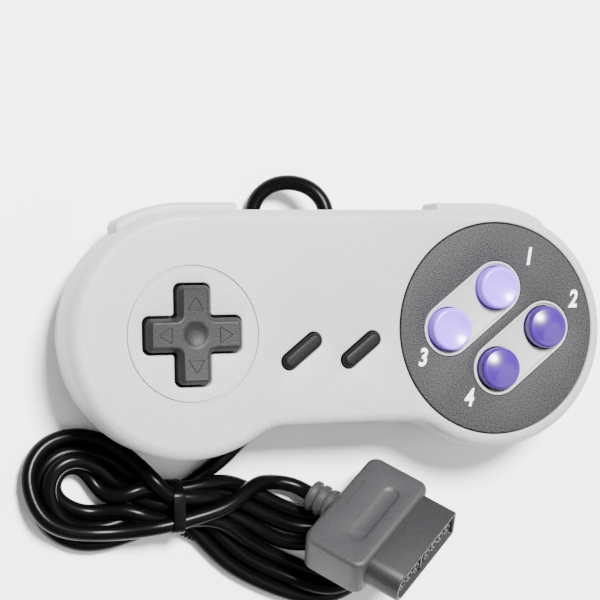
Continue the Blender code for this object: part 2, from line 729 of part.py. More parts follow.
def make_screws(parent, steel):
    for number, place in enumerate(screw_places(), 1):
        head_top = SCREW_SEAT - CLEARANCE
        shape(f"case_screw_{number}", lambda mesh: turned(mesh, [
            (SCREW_HEAD_RADIUS * 0.7, head_top - SCREW_HEAD_HEIGHT),
            (SCREW_HEAD_RADIUS, head_top - SCREW_HEAD_HEIGHT * 0.6), (SCREW_HEAD_RADIUS, head_top),
            (SCREW_RADIUS, head_top), (SCREW_RADIUS, FACE_UNDERSIDE - 2 * WALL),
        ], place, 12), steel, parent)


# ---------------------------------------------------------------- lead, hank and plug

def cable(name, points, radius, per_span, finish_material, parent, sides=2):
    """A round cable along the smooth curve through the given points, with filled ends."""
    curve = bpy.data.curves.new(name, "CURVE")
    curve.dimensions = "3D"
    curve.bevel_depth = radius
    curve.bevel_resolution = sides
    curve.use_fill_caps = True
    route = smooth_curve(points, per_span)
    spline = curve.splines.new("POLY")
    spline.points.add(len(route) - 1)
    for point, place in zip(spline.points, route):
        point.co = (*place, 1.0)
    curve.materials.append(finish_material)
    thing = bpy.data.objects.new(name, curve)
    bpy.context.scene.collection.objects.link(thing)
    thing.parent = parent
    return thing


# Where the lead goes, in millimetres from the middle of the housing at the surface: out of the
# gland, round in an open bend, under the bridge and along the left lobe to the hank.
LEAD_ROUTE = (
    (-0.5, 21.6, 12.0), (-0.5, 25.0, 12.0), (-0.5, 29.0, 12.0), (-1.4, 33.2, 11.4),
    (-4.0, 36.6, 9.9), (-8.0, 38.3, 7.6), (-12.4, 37.9, 5.4), (-16.0, 35.2, 3.8),
    (-17.6, 31.2, 2.9), (-17.4, 26.8, 2.4), (-15.6, 22.0, 2.2), (-12.9, 17.0, 2.1),
    (-10.4, 11.5, 2.1), (-8.7, 5.5, 2.1), (-8.2, -0.6, 2.1), (-8.9, -6.8, 2.1),
    (-10.9, -13.0, 2.1), (-14.1, -19.0, 2.1), (-18.4, -24.6, 2.1), (-23.6, -29.4, 2.3),
    (-28.6, -33.2, 2.9),
)
# From the plug's strain relief back to the hank.
TAIL_ROUTE = (
    (-3.9, -42.0, 5.4), (-5.4, -41.0, 4.1), (-7.8, -39.8, 3.1), (-10.5, -39.1, 2.7), (-13.0, -38.8, 2.7),
)
# The hank's outer shape: a tied waist between a small loop and a wide one.
HANK_OUTLINE = (
    (-41.0, -37.2), (-33.0, -37.4), (-26.5, -36.2), (-21.5, -33.6), (-16.6, -33.8), (-14.2, -36.6),
    (-13.8, -41.0), (-12.0, -46.5), (-8.5, -51.0), (-3.0, -53.4), (4.0, -53.6), (9.8, -54.6),
    (12.0, -58.5), (5.0, -64.5), (-6.0, -66.5), (-18.0, -65.0),
    (-29.0, -58.8), (-36.0, -51.6), (-41.0, -49.4), (-48.0, -50.2), (-58.0, -52.6), (-68.0, -51.0),
    (-75.5, -45.0), (-77.5, -36.5), (-73.5, -28.5), (-66.0, -25.2), (-58.5, -30.0), (-50.0, -35.2),
)
TIE_X = -41.0
TIE_LENGTH = 3.0 * mm
TIE_SLACK = 1.0 * mm


def make_lead(parent, black):
    cable("cord_lead", [[c * mm for c in p] for p in LEAD_ROUTE], CORD_RADIUS, 2, black, parent)
    cable("cord_tail", [[c * mm for c in p] for p in TAIL_ROUTE], CORD_RADIUS, 2, black, parent)
    corners = [[c * mm for c in p] for p in HANK_OUTLINE]
    outline = [(p.x, p.y) for p in smooth_curve(corners, 3, closed=True)]
    low = TIE_WALL + CLEARANCE

    def hank(mesh):
        prism(mesh, outline, low, low + HANK_HEIGHT)

    shape("cord_hank", hank, black, parent)

    near = [p[1] * mm for p in HANK_OUTLINE if p[0] == TIE_X]
    middle_y = sum(near) / 2
    width = max(near) - min(near) + 2 * TIE_SLACK
    middle_z = TIE_WALL + CLEARANCE + HANK_HEIGHT / 2
    height = HANK_HEIGHT + 2 * CLEARANCE

    def band(mesh, grow, extra):
        ring = rectangle(width + 2 * grow, height + 2 * grow, (middle_y, middle_z), 1 * mm, 3)
        loft(mesh, [[(TIE_X * mm + x, y, z) for y, z in ring]
                    for x in (-TIE_LENGTH / 2 - extra, TIE_LENGTH / 2 + extra)])

    tie = shape("cord_tie", lambda mesh: band(mesh, TIE_WALL - 0.02 * mm, 0), black, parent)
    cut(tie, "cut_tie", lambda mesh: band(mesh, 0, 1 * mm), parent)

    def gland(mesh):
        bore = CORD_RADIUS + CLEARANCE
        flange = TOP_EDGE - WALL - 1.4 * mm
        profile = [
            (bore, TOP_EDGE - 5.4 * mm), (bore, TOP_EDGE - 0.9 * mm),
            (bore + 0.5 * mm, TOP_EDGE - 0.3 * mm),
            (GLAND_RADIUS, TOP_EDGE - 0.3 * mm), (GLAND_RADIUS, flange),
            (GLAND_RADIUS + 0.9 * mm, flange),
            (GLAND_RADIUS + 0.9 * mm, TOP_EDGE - 5.4 * mm),
        ]
        rings = [[(CORD_EXIT_X + x, y, PARTING_HEIGHT + z) for x, z in circle(r, segments=20)]
                 for r, y in profile]
        stack = [[mesh.verts.new(point) for point in ring] for ring in rings]
        for low_ring, high_ring in zip(stack, stack[1:] + stack[:1]):
            for i in range(20):
                j = (i + 1) % 20
                mesh.faces.new((low_ring[i], low_ring[j], high_ring[j], high_ring[i]))

    shape("cord_gland", gland, black, parent)


def make_plug(parent, body_grey, shroud_grey, gold):
    """Modelled along +X with its tail at the origin, then laid with its tail corner on the surface."""
    turn = (Matrix.Rotation(math.radians(PLUG_YAW), 3, "Z")
            @ Matrix.Rotation(math.radians(-PLUG_PITCH), 3, "Y")
            @ Matrix.Rotation(math.radians(PLUG_ROLL), 3, "X"))
    corners = [turn @ Vector((0, sy * PLUG_WIDTH / 2, -PLUG_HEIGHT / 2)) for sy in (-1, 1)]
    lift = 0.4 * mm - min(c.z for c in corners)
    holder = bpy.data.objects.new("plug_place", None)
    bpy.context.scene.collection.objects.link(holder)
    holder.parent = parent
    holder.matrix_local = Matrix.Translation((*PLUG_TAIL, lift)) @ turn.to_4x4()

    edge = 1.0 * mm

    def body(mesh):
        rings = []
        for inset, z in ((edge, -PLUG_HEIGHT / 2), (0.3 * edge, -PLUG_HEIGHT / 2 + 0.3 * edge),
                         (0, -PLUG_HEIGHT / 2 + edge), (0, PLUG_HEIGHT / 2 - edge),
                         (0.3 * edge, PLUG_HEIGHT / 2 - 0.3 * edge), (edge, PLUG_HEIGHT / 2)):
            ring = rectangle(PLUG_LENGTH - 2 * inset, PLUG_WIDTH - 2 * inset,
                             (PLUG_LENGTH / 2, 0), 3.0 * mm - inset, 4)
            rings.append([(x, y, z) for x, y in ring])
        loft(mesh, rings)

    def shroud_ring(grow, x):
        """Square at one end and well rounded at the other, so that it fits one way round only."""
        half_w, half_h = SHROUD_WIDTH / 2 + grow, SHROUD_HEIGHT / 2 + grow
        points = []
        for k, (sy, sz) in enumerate(((1, 1), (-1, 1), (-1, -1), (1, -1))):
            corner = (1.5 * mm if sy > 0 else 3.4 * mm) + grow
            for i in range(5):
                angle = math.pi / 2 * (k + i / 4)
                points.append((x, sy * (half_w - corner) + corner * math.cos(angle),
                               sz * (half_h - corner) + corner * math.sin(angle)))
        return points

    def pocket(mesh):
        loft(mesh, [shroud_ring(CLEARANCE, x) for x in (PLUG_LENGTH - POCKET_DEPTH, PLUG_LENGTH + WALL)])

    def thumb_rest(mesh):
        outline = pill(21 * mm, 4.6 * mm, (PLUG_LENGTH * 0.62, 0), math.pi / 2, 6)
        prism(mesh, outline, PLUG_HEIGHT / 2 - 0.4 * mm, PLUG_HEIGHT / 2 + WALL)

    def tail_socket(mesh):
        loft(mesh, [[(x, y, z) for y, z in circle(1.8 * mm, segments=12)]
                    for x in (-WALL, PLUG_LENGTH - POCKET_DEPTH + WALL)])

    plug = shape("plug_body", body, body_grey, holder)
    cut(plug, "cut_plug_pocket", pocket, holder)
    cut(plug, "cut_plug_thumb_rest", thumb_rest, holder)
    cut(plug, "cut_plug_tail", tail_socket, holder)

    front = PLUG_LENGTH + SHROUD_PROUD
    shroud = shape("plug_shroud", lambda mesh: loft(
        mesh, [shroud_ring(0, x) for x in (PLUG_LENGTH - POCKET_DEPTH + CLEARANCE, front)]),
        shroud_grey, holder)
    cut(shroud, "cut_shroud_mouth", lambda mesh: loft(
        mesh, [shroud_ring(-SHROUD_WALL, x) for x in (front - MOUTH_DEPTH, front + WALL)]), holder)

    slots = [0, 1, 2, 3.6, 4.6, 5.6, 6.6]
    places = [(slot - slots[-1] / 2) * CONTACT_PITCH for slot in slots]

    def sleeves(mesh):
        for y in places:
            loft(mesh, [[(x, y + a, b) for a, b in circle(1.55 * mm, segments=14)]
                        for x in (front - MOUTH_DEPTH - SHROUD_WALL / 2, front - 0.5 * mm)])
        divider = (places[2] + places[3]) / 2
        loft(mesh, [[(x, divider + a, b) for a, b in rectangle(0.7 * mm, SHROUD_HEIGHT - SHROUD_WALL)]
                    for x in (front - MOUTH_DEPTH - SHROUD_WALL / 2, front - 0.5 * mm)])

    def bores(mesh):
        for y in places:
            loft(mesh, [[(x, y + a, b) for a, b in circle(1.0 * mm, segments=12)]
                        for x in (PLUG_LENGTH - POCKET_DEPTH - WALL, front + WALL)])

    add(shroud, "add_shroud_sleeves", sleeves, holder)
    cut(shroud, "cut_shroud_bores", bores, holder)

    for number, y in enumerate(places, 1):
        def contact(mesh):
            profile = [(0.45 * mm, front - 4.0 * mm), (0.45 * mm, front - 1.2 * mm),
                       (0.75 * mm, front - 1.2 * mm), (0.75 * mm, PLUG_LENGTH - POCKET_DEPTH + 1.0 * mm)]
            loft(mesh, [[(x, y + a, b) for a, b in circle(r, segments=10)] for r, x in profile])
        shape(f"plug_contact_{number}", contact, gold, holder)

    def relief(mesh):
        rings = []
        rib = RELIEF_LENGTH / 4
        profile = [(CORD_RADIUS + 1.3 * mm, -RELIEF_LENGTH),
                   (RELIEF_RADIUS - 0.7 * mm, -RELIEF_LENGTH + 0.1 * mm)]
        for k in range(3):
            start = -RELIEF_LENGTH + 0.3 * mm + k * rib * 1.25
            radius = RELIEF_RADIUS - 0.1 * mm * k
            profile += [(radius, start), (radius, start + rib * 0.85),
                        (RELIEF_RADIUS - 0.9 * mm, start + rib * 0.9),
                        (RELIEF_RADIUS - 0.9 * mm, start + rib * 1.2)]
        profile[-1] = (RELIEF_RADIUS - 0.9 * mm, -CLEARANCE)
        for r, x in profile:
            rings.append([(x, a, b) for a, b in circle(r, segments=20)])
        loft(mesh, rings)

    shape("plug_strain_relief", relief, body_grey, holder)


# ---------------------------------------------------------------- assembly

def main():
    clear_scene()
    shell_grey = material("shell plastic", (0.70, 0.70, 0.69), 0.5)
    plate_grey = material("plate plastic", (0.14, 0.14, 0.145), 0.55)
    key_grey = material("key plastic", (0.07, 0.07, 0.075), 0.5)
    lavender = material("concave button plastic", (0.55, 0.46, 0.86), 0.3)
    purple = material("domed button plastic", (0.09, 0.035, 0.42), 0.25)
    rubber = material("membrane rubber", (0.10, 0.10, 0.11), 0.8)
    board_green = material("board laminate", (0.05, 0.22, 0.09), 0.4)
    chip_black = material("chip epoxy", (0.02, 0.02, 0.02), 0.5)
    aluminium = material("capacitor can", (0.75, 0.75, 0.76), 0.3, 1.0)
    ivory = material("header nylon", (0.75, 0.70, 0.58), 0.5)
    wire = material("wire insulation", (0.35, 0.03, 0.03), 0.4)
    steel = material("screw steel", (0.55, 0.55, 0.56), 0.3, 1.0)
    cord_black = material("cord vinyl", (0.012, 0.012, 0.013), 0.3)
    plug_grey = material("plug vinyl", (0.24, 0.24, 0.245), 0.5)
    shroud_grey = material("shroud plastic", (0.13, 0.13, 0.14), 0.5)
    gold = material("contact brass", (0.7, 0.5, 0.2), 0.3, 1.0)

    housing = bpy.data.objects.new("housing_middle", None)
    bpy.context.scene.collection.objects.link(housing)
    housing.location = HOUSING_SHIFT

    make_shells(housing, shell_grey)
    make_plate(housing, plate_grey)
    make_round_buttons(housing, {False: lavender, True: purple})
    make_pad(housing, key_grey, ivory)
    make_pills(housing, key_grey)
    make_shoulders(housing, shell_grey, steel)
    make_rubber(housing, rubber)
    make_boards(housing, board_green, chip_black, rubber, aluminium, ivory, wire)
    make_screws(housing, steel)
    make_lead(housing, cord_black)
    make_plug(housing, plug_grey, shroud_grey, gold)


main()
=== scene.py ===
# %% [markdown]
# # A wired game controller with its cord in a tied hank
# The controller lies on its back on a pale table. The CAD model of it is loaded first: it gives
# the place of every part and the bodies that move. Everything that shows is then built again in
# finer shape, in the same place, from a few outlines and profiles written as numpy arrays.
# %% Load the frame
import math

import bmesh
import bpy
import numpy as np
from mathutils import Matrix, Vector
from mathutils.geometry import delaunay_2d_cdt


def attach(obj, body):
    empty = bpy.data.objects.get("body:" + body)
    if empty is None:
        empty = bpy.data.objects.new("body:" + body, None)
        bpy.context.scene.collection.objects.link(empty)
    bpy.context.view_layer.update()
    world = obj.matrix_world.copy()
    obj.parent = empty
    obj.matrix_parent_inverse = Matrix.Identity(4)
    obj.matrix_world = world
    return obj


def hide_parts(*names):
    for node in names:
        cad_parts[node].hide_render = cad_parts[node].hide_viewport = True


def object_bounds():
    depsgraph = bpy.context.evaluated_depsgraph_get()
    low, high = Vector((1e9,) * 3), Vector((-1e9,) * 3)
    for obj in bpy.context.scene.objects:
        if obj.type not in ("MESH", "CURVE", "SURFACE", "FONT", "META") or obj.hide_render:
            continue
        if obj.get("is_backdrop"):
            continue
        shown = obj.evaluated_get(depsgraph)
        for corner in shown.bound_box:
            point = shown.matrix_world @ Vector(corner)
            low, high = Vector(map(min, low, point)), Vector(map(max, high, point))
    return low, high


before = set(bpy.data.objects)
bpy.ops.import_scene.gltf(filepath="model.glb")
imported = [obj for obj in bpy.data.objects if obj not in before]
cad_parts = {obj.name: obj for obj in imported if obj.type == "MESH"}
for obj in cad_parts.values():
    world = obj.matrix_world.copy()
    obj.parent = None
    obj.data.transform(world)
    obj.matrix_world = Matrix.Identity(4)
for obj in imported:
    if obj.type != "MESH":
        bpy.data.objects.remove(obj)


def corners():
    """The lowest and highest corner of what shows, as plain lists."""
    return [list(map(float, corner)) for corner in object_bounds()]


sizes = {"cad": corners()}
print("CAD box in mm", np.round(np.array(sizes["cad"]) * 1000, 1).tolist())

# %% [markdown]
# ## Working in millimetres around the housing
# The housing is made of two circles joined by two straight edges, so its middle is the handy place
# to measure from. All arrays below are in millimetres from there; `piece` turns them into metres.
# %% Measures
MM = 0.001
HOME = np.array([0.0, -1.0, 0.0])
LOBE_X, LOBE_RADIUS = 41.0, 30.6
WAIST, FILLET = 23.3, 14.0
TOP, PARTING, FACE_EDGE, BACK_EDGE, WALL = 25.0, 12.0, 3.0, 12.0, 2.2
BRIDGE = 5.4
FACE_UNDER, SEAT_FLOOR = 22.8, 23.7              # under the face, and the floor of the plate's seat
OPENING_LOW, OPENING_HIGH = 9.5, 19.5            # the shoulder buttons' openings
WINDOW_LOW, WINDOW_HIGH, WINDOW_X = 8.0, 16.5, 5.5  # the far wall's piece round the cord
FLANGE_LOW, FLANGE_HIGH = 21.3, 22.5             # the flanges that keep the buttons in
EXIT_X = -0.5                                    # where the cord leaves the far wall
WELL_RADIUS, WELL_FLOOR = 2.5, 9.5               # screw wells in the back
CORD = 2.0                                       # radius
PLATE_RADIUS, SLOT_RADIUS, SLOT_TOP = 27.0, 6.85, 24.4
BUTTON_RADIUS, BUTTON_TOP, PAD_TOP = 5.4, 27.6, 28.0
BUTTONS = {"button_top": (41.0, 10.4), "button_left": (27.4, 0.0),
           "button_right": (54.6, 0.0), "button_bottom": (41.0, -10.4)}
PILLS = {"select_button": (-12.8, -4.6), "start_button": (3.0, -4.6)}
PILL_TILT = math.radians(38)
SCREW_CIRCLE = 24.2
SCREWS = [(s * (LOBE_X - SCREW_CIRCLE * math.cos(math.radians(a))),
           SCREW_CIRCLE * math.sin(math.radians(a))) for s in (-1, 1) for a in (170, -80)]
print("housing", 2 * (LOBE_X + LOBE_RADIUS), "mm wide")

# %% [markdown]
# ## A few mesh tools
# `grid` skins a table of points, `lid` closes a ring, `patch` fills an outline that may have holes,
# `join` puts parts into one mesh and `piece` makes the object, gives it its finish and hangs it on
# its moving body.
# %% Mesh tools
def grid(points, around=True, keep=None):
    """Quads between the rows and columns of a (rows, columns, 3) array; keep marks those wanted."""
    rows, columns = points.shape[:2]
    i = np.arange(rows - 1)[:, None]
    j = np.arange(columns if around else columns - 1)[None, :]
    k = (j + 1) % columns
    quads = np.stack(np.broadcast_arrays(i * columns + j, i * columns + k,
                                         (i + 1) * columns + k, (i + 1) * columns + j), -1)
    quads = quads[keep] if keep is not None else quads.reshape(-1, 4)
    return points.reshape(-1, 3), quads.tolist()


def lid(ring):
    """One face over a ring of points."""
    return ring, [list(range(len(ring)))]


def inside(points, loop):
    """Even-odd rule: true where a ray to the right crosses the loop an odd number of times."""
    x, y = points[:, 0, None], points[:, 1, None]
    a, b = loop, np.roll(loop, -1, axis=0)
    crosses = (a[:, 1] > y) != (b[:, 1] > y)
    rise = np.where(b[:, 1] == a[:, 1], 1e-9, b[:, 1] - a[:, 1])
    reach = a[:, 0] + (y - a[:, 1]) * (b[:, 0] - a[:, 0]) / rise
    return (crosses & (x < reach)).sum(1) % 2 == 1


def patch(outer, holes=(), dots=None, height=0.0):
    """Triangles between an outline and its holes. dots are extra points inside, and height is a
    number or a function of the plan points, so that the patch can be curved."""
    loops = [np.asarray(outer, float), *(np.asarray(hole, float) for hole in holes)]
    plan = np.vstack(loops)
    edges, start = [], 0
    for loop in loops:
        count = len(loop)
        edges += [(start + i, start + (i + 1) % count) for i in range(count)]
        start += count
    if dots is not None:
        free = inside(dots, loops[0]) & (np.linalg.norm(dots[:, None] - plan, axis=2).min(1) > 0.25)
        for hole in loops[1:]:
            free &= ~inside(dots, hole)
        plan = np.vstack([plan, dots[free]])
    made = delaunay_2d_cdt([Vector(p) for p in plan], edges, [], 0, 1e-7)
    spots = np.array([tuple(p) for p in made[0]])
    faces = np.array([face for face in made[2] if len(face) == 3])
    middle = spots[faces].mean(1)
    good = inside(middle, loops[0])
    for hole in loops[1:]:
        good &= ~inside(middle, hole)
    rise = height(spots) if callable(height) else np.full(len(spots), height)
    return np.c_[spots, rise], faces[good].tolist()


def join(*parts):
    """Several (points, faces) pairs as one."""
    points, faces, start = [], [], 0
    for spots, corner_lists in parts:
        points.append(np.asarray(spots, float))
        faces += [[corner + start for corner in face] for face in corner_lists]
        start += len(spots)
    return np.vstack(points), faces


def piece(name, part, finish, body="housing", replaces=(), smooth=38, weld=0.004):
    """An object at the origin from millimetre points, on its body, in place of its CAD nodes."""
    points, faces = part
    name = name.replace(" ", "-")
    data = bpy.data.meshes.new(name)
    data.from_pydata(((points + HOME) * MM).tolist(), [], faces)
    mesh = bmesh.new()
    mesh.from_mesh(data)
    bmesh.ops.remove_doubles(mesh, verts=mesh.verts, dist=weld * MM)
    bmesh.ops.recalc_face_normals(mesh, faces=mesh.faces)
    mesh.to_mesh(data)
    mesh.free()
    data.shade_smooth()
    data.set_sharp_from_angle(angle=math.radians(smooth))
    data.materials.append(finish)
    thing = bpy.data.objects.new(name, data)
    bpy.context.scene.collection.objects.link(thing)
    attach(thing, body)
    if replaces:
        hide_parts(*replaces)
    print(name, len(data.polygons), "faces")
    return thing

# %% [markdown]
# ## Outlines and profiles
# A rounded edge is a quarter circle in section. An outline is a function of how far it has grown
# outward, and a profile is a list of (grow, height) pairs, so one line can sweep an edge all round.
# %% Outlines
def turn(degrees_from, degrees_to, count):
    """Unit vectors over an arc."""
    angle = np.radians(np.linspace(degrees_from, degrees_to, count))
    return np.stack([np.cos(angle), np.sin(angle)], -1)


def circle(centre, radius, count=72):
    """A circle as a function of grow: centre + (radius + grow) times the unit vectors."""
    return lambda grow=0.0: np.asarray(centre) + (radius + grow) * turn(0, 360, count + 1)[:-1]


def pill(centre, length, width, tilt, count=14):
    """A slot with round ends: two half circles, each about one end of the middle line."""
    along = np.array([math.cos(tilt), math.sin(tilt)]) * (length - width) / 2
    lean = math.degrees(tilt)

    def outline(grow=0.0):
        return np.vstack([np.asarray(centre) + sign * along
                          + (width / 2 + grow) * turn(lean - 90 + side, lean + 90 + side, count)
                          for sign, side in ((1, 0), (-1, 180))])
    return outline


def cross(reach, arm, corner, notch):
    """Four arms: two rounded outer corners and one rounded inner corner each."""
    def outline(grow=0.0):
        r, a, c, q = reach + grow, arm + grow, corner + grow, max(notch - grow, 0.05)
        quarter = np.vstack([np.array([r - c, c - a]) + c * turn(-90, 0, 7),
                             np.array([r - c, a - c]) + c * turn(0, 90, 7),
                             np.array([a + q, a + q]) + q * turn(270, 180, 5)])
        arms = []
        for k in range(4):
            s, t = (0, 1, 0, -1)[k], (1, 0, -1, 0)[k]
            arms.append(quarter @ np.array([[t, s], [-s, t]]))
        return np.vstack(arms) + np.array([-LOBE_X, 0.0])
    return outline


FAR_X = np.array([WINDOW_X, 12.0, 19.0, 26.7, 34.0])  # corners of the far edge; 26.7 starts an opening
OPENING_X, BUTTON_X = 58.6, 57.9                 # the upright ends of the opening and of its button
BUTTON_END = math.degrees(math.acos((OPENING_X - LOBE_X) / LOBE_RADIUS))


def right_half(grow):
    """Far edge, lobe, fillet and near edge on the right side, as one clockwise run of points."""
    radius, fillet, drop = LOBE_RADIUS + grow, FILLET - grow, WAIST + FILLET
    reach = math.sqrt((LOBE_RADIUS + FILLET) ** 2 - drop ** 2)
    leave = math.degrees(math.atan2(-drop, -reach))
    lobe = np.vstack([turn(90, BUTTON_END, 12)[:-1], turn(BUTTON_END, leave, 70)])
    return (np.c_[FAR_X, np.full(len(FAR_X), radius)], np.array([LOBE_X, 0]) + radius * lobe,
            np.array([LOBE_X - reach, -drop]) + fillet * turn(leave + 180, 90, 14)[1:])


def housing(grow=0.0):
    """The whole outline: the right half and its mirror image."""
    half = np.vstack(right_half(grow))
    return np.vstack([half, half[::-1] * [-1, 1]])


def rings(outline, profile):
    """The outline at every (grow, height) of the profile, as a table of points."""
    return np.stack([np.c_[outline(grow), np.full(len(outline(grow)), z)] for grow, z in profile])


def bend(start, end, steps=6):
    """A quarter ellipse that leaves start upright and reaches end level."""
    t = np.linspace(0, math.pi / 2, steps)
    return [(end[0] + (start[0] - end[0]) * math.cos(a), start[1] + (end[1] - start[1]) * math.sin(a))
            for a in t]


print("the housing's outline has", len(housing()), "points")

# %% [markdown]
# ## Camera, floor and soft light
# A long lens above and a little to the left looks down on the face. The table is plain and pale. A
# strong soft light behind it, a weaker one on the right and a bright surround give soft shadows, so
# that the side that faces left is the darkest.
# %% Camera
camera_data = bpy.data.cameras.new("camera")
camera_data.lens, camera_data.sensor_width = 114, 36
camera = bpy.data.objects.new("camera", camera_data)
view = Matrix(((0.9364, 0.01525, -0.3506, -0.17796), (-0.0185, 0.9998, -0.0059, 0.00426),
               (0.3504, 0.01205, 0.9365, 0.46545), (0, 0, 0, 1)))
camera.matrix_world = view
bpy.context.scene.collection.objects.link(camera)
bpy.context.scene.camera = camera
print("camera", [round(v, 3) for v in camera.location])

# %% Floor and lights
def area_light(name, place, target, size, power, tint=(1, 1, 1)):
    data = bpy.data.lights.new(name, "AREA")
    data.shape, data.size, data.energy, data.color = "DISK", size, power, tint
    lamp = bpy.data.objects.new(name, data)
    lamp.location = place
    lamp.rotation_euler = (Vector(target) - Vector(place)).to_track_quat("-Z", "Y").to_euler()
    bpy.context.scene.collection.objects.link(lamp)
    lamp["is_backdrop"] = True
    return lamp


def studio_floor(size):
    """A flat square of the given half width under the controller."""
    data = bpy.data.meshes.new("table")
    data.from_pydata([(-size, -size, 0), (size, -size, 0), (size, size, 0), (-size, size, 0)], [],
                     [(0, 1, 2, 3)])
    floor = bpy.data.objects.new("table", data)
    bpy.context.scene.collection.objects.link(floor)
    floor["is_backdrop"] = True
    return floor


floor = studio_floor(6.0)
area_light("key", (0.10, 0.58, 1.32), (0, 0, 0), 0.42, 105.0)
area_light("fill", (1.0, -0.5, 1.2), (0, -0.02, 0), 1.6, 11.0)
world = bpy.data.worlds.new("surround")
world.use_nodes = True
world.node_tree.nodes["Background"].inputs["Color"].default_value = (1, 1, 1, 1)
world.node_tree.nodes["Background"].inputs["Strength"].default_value = 0.6
bpy.context.scene.world = world

# %% [markdown]
# ## Two shared effects
# Moulded plastic is never perfectly even: the tool leaves a fine grain, and handling leaves broad
# patches that are a little smoother. Each is a node group that gives out a normal or a mask, so
# that every finish can use it at its own size and strength.
# %% Effects
def effect(name, inputs, outputs):
    """An empty node group with the given sockets; gives back the group, its input and its output."""
    group = bpy.data.node_groups.new(name, "ShaderNodeTree")
    for label, value in inputs.items():
        socket = group.interface.new_socket(label, in_out="INPUT", socket_type="NodeSocketFloat")
        socket.default_value = value
    for label, kind in outputs.items():
        group.interface.new_socket(label, in_out="OUTPUT", socket_type=kind)
    return group, group.nodes.new("NodeGroupInput"), group.nodes.new("NodeGroupOutput")


def node(tree, kind, **values):
    """A node with its sockets or settings set by name; a link is given as another node's socket."""
    made = tree.nodes.new(kind)
    for label, value in values.items():
        name = label.replace("_", " ").title()
        if label.startswith("set_"):
            setattr(made, label[4:], value)
        elif isinstance(value, bpy.types.NodeSocket):
            tree.links.new(value, made.inputs[name])
        else:
            made.inputs[name].default_value = value
    return made


grain, enter, leave = effect("moulded grain", {"Scale": 2500.0, "Depth": 0.3},
                             {"Normal": "NodeSocketVector", "Mask": "NodeSocketFloat"})
spot = node(grain, "ShaderNodeTexCoord")
cells = node(grain, "ShaderNodeTexNoise", vector=spot.outputs["Object"],
             scale=enter.outputs["Scale"], detail=3.0, roughness=0.6)
relief = node(grain, "ShaderNodeBump", strength=enter.outputs["Depth"], distance=0.0002,
              height=cells.outputs["Fac"])
grain.links.new(relief.outputs["Normal"], leave.inputs["Normal"])
grain.links.new(cells.outputs["Fac"], leave.inputs["Mask"])

handled, enter, leave = effect("handled patches", {"Scale": 45.0, "Low": 0.4, "High": 0.55},
                               {"Roughness": "NodeSocketFloat"})
spot = node(handled, "ShaderNodeTexCoord")
clouds = node(handled, "ShaderNodeTexNoise", vector=spot.outputs["Object"],
              scale=enter.outputs["Scale"], detail=4.0)
spread = node(handled, "ShaderNodeMapRange", value=clouds.outputs["Fac"], from_min=0.3, from_max=0.7,
              to_min=enter.outputs["Low"], to_max=enter.outputs["High"])
handled.links.new(spread.outputs["Result"], leave.inputs["Roughness"])
print("effects", [group.name for group in bpy.data.node_groups])

# %% [markdown]
# ## Finishes
# The housing is a pale, slightly warm grey with a fine grain. The round plate is dark and coarsely
# speckled. The pad and the two slanted buttons are darker still, the round buttons are glossy, and
# the cord is shiny black vinyl.
# %% Finishes
def plastic(name, colour, speck=None, scale=2500.0, depth=0.3, low=0.4, high=0.55, coat=0.0,
            metallic=0.0, specks=(0.42, 0.62), shine=0.5):
    """A finish with grain and handled patches; speck is a second colour mixed in by the grain, and
    shine is how much the surface mirrors."""
    made = bpy.data.materials.new(name)
    made.use_nodes = True
    tree = made.node_tree
    shader = tree.nodes["Principled BSDF"]
    shader.inputs["Base Color"].default_value = (*colour, 1)
    shader.inputs["Metallic"].default_value = metallic
    shader.inputs["Specular IOR Level"].default_value = shine
    shader.inputs["Coat Weight"].default_value = coat
    shader.inputs["Coat Roughness"].default_value = 0.08
    fine = node(tree, "ShaderNodeGroup", set_node_tree=grain)
    fine.inputs["Scale"].default_value = scale
    fine.inputs["Depth"].default_value = depth
    worn = node(tree, "ShaderNodeGroup", set_node_tree=handled)
    worn.inputs["Low"].default_value = low
    worn.inputs["High"].default_value = high
    tree.links.new(fine.outputs["Normal"], shader.inputs["Normal"])
    tree.links.new(worn.outputs["Roughness"], shader.inputs["Roughness"])
    if speck:
        ramp = node(tree, "ShaderNodeValToRGB", fac=fine.outputs["Mask"])
        ramp.color_ramp.elements[0].position, ramp.color_ramp.elements[1].position = specks
        ramp.color_ramp.elements[0].color = (*colour, 1)
        ramp.color_ramp.elements[1].color = (*speck, 1)
        tree.links.new(ramp.outputs["Color"], shader.inputs["Base Color"])
    return made


shell_grey = plastic("shell plastic", (0.300, 0.300, 0.296), (0.335, 0.335, 0.330), 1500, 0.3,
                     0.42, 0.55)
plate_grey = plastic("plate plastic", (0.004, 0.004, 0.0045), (0.037, 0.037, 0.0385), 2800, 0.9,
                     0.5, 0.65, specks=(0.38, 0.64), shine=0.25)
pad_grey = plastic("pad plastic", (0.009, 0.009, 0.0095), (0.013, 0.013, 0.0135), 2400, 0.35,
                   0.42, 0.54, shine=0.2)
key_grey = plastic("key plastic", (0.004, 0.004, 0.0045), (0.006, 0.006, 0.0065), 2400, 0.35,
                   0.42, 0.54, shine=0.1)
lavender = plastic("concave button plastic", (0.29, 0.105, 0.94), None, 900, 0.03, 0.24, 0.34, 0.2)
purple = plastic("domed button plastic", (0.034, 0.003, 0.150), None, 900, 0.03, 0.22, 0.30, 0.2)
cord_black = plastic("cord vinyl", (0.0012, 0.0012, 0.0013), None, 1200, 0.08, 0.22, 0.32, shine=0.08)
plug_grey = plastic("plug vinyl", (0.023, 0.023, 0.0245), (0.028, 0.028, 0.0295), 1800, 0.3, 0.42, 0.55,
                    shine=0.3)
shroud_grey = plastic("shroud plastic", (0.011, 0.011, 0.0118), (0.014, 0.014, 0.0148), 1800, 0.25,
                      0.4, 0.5, shine=0.22)
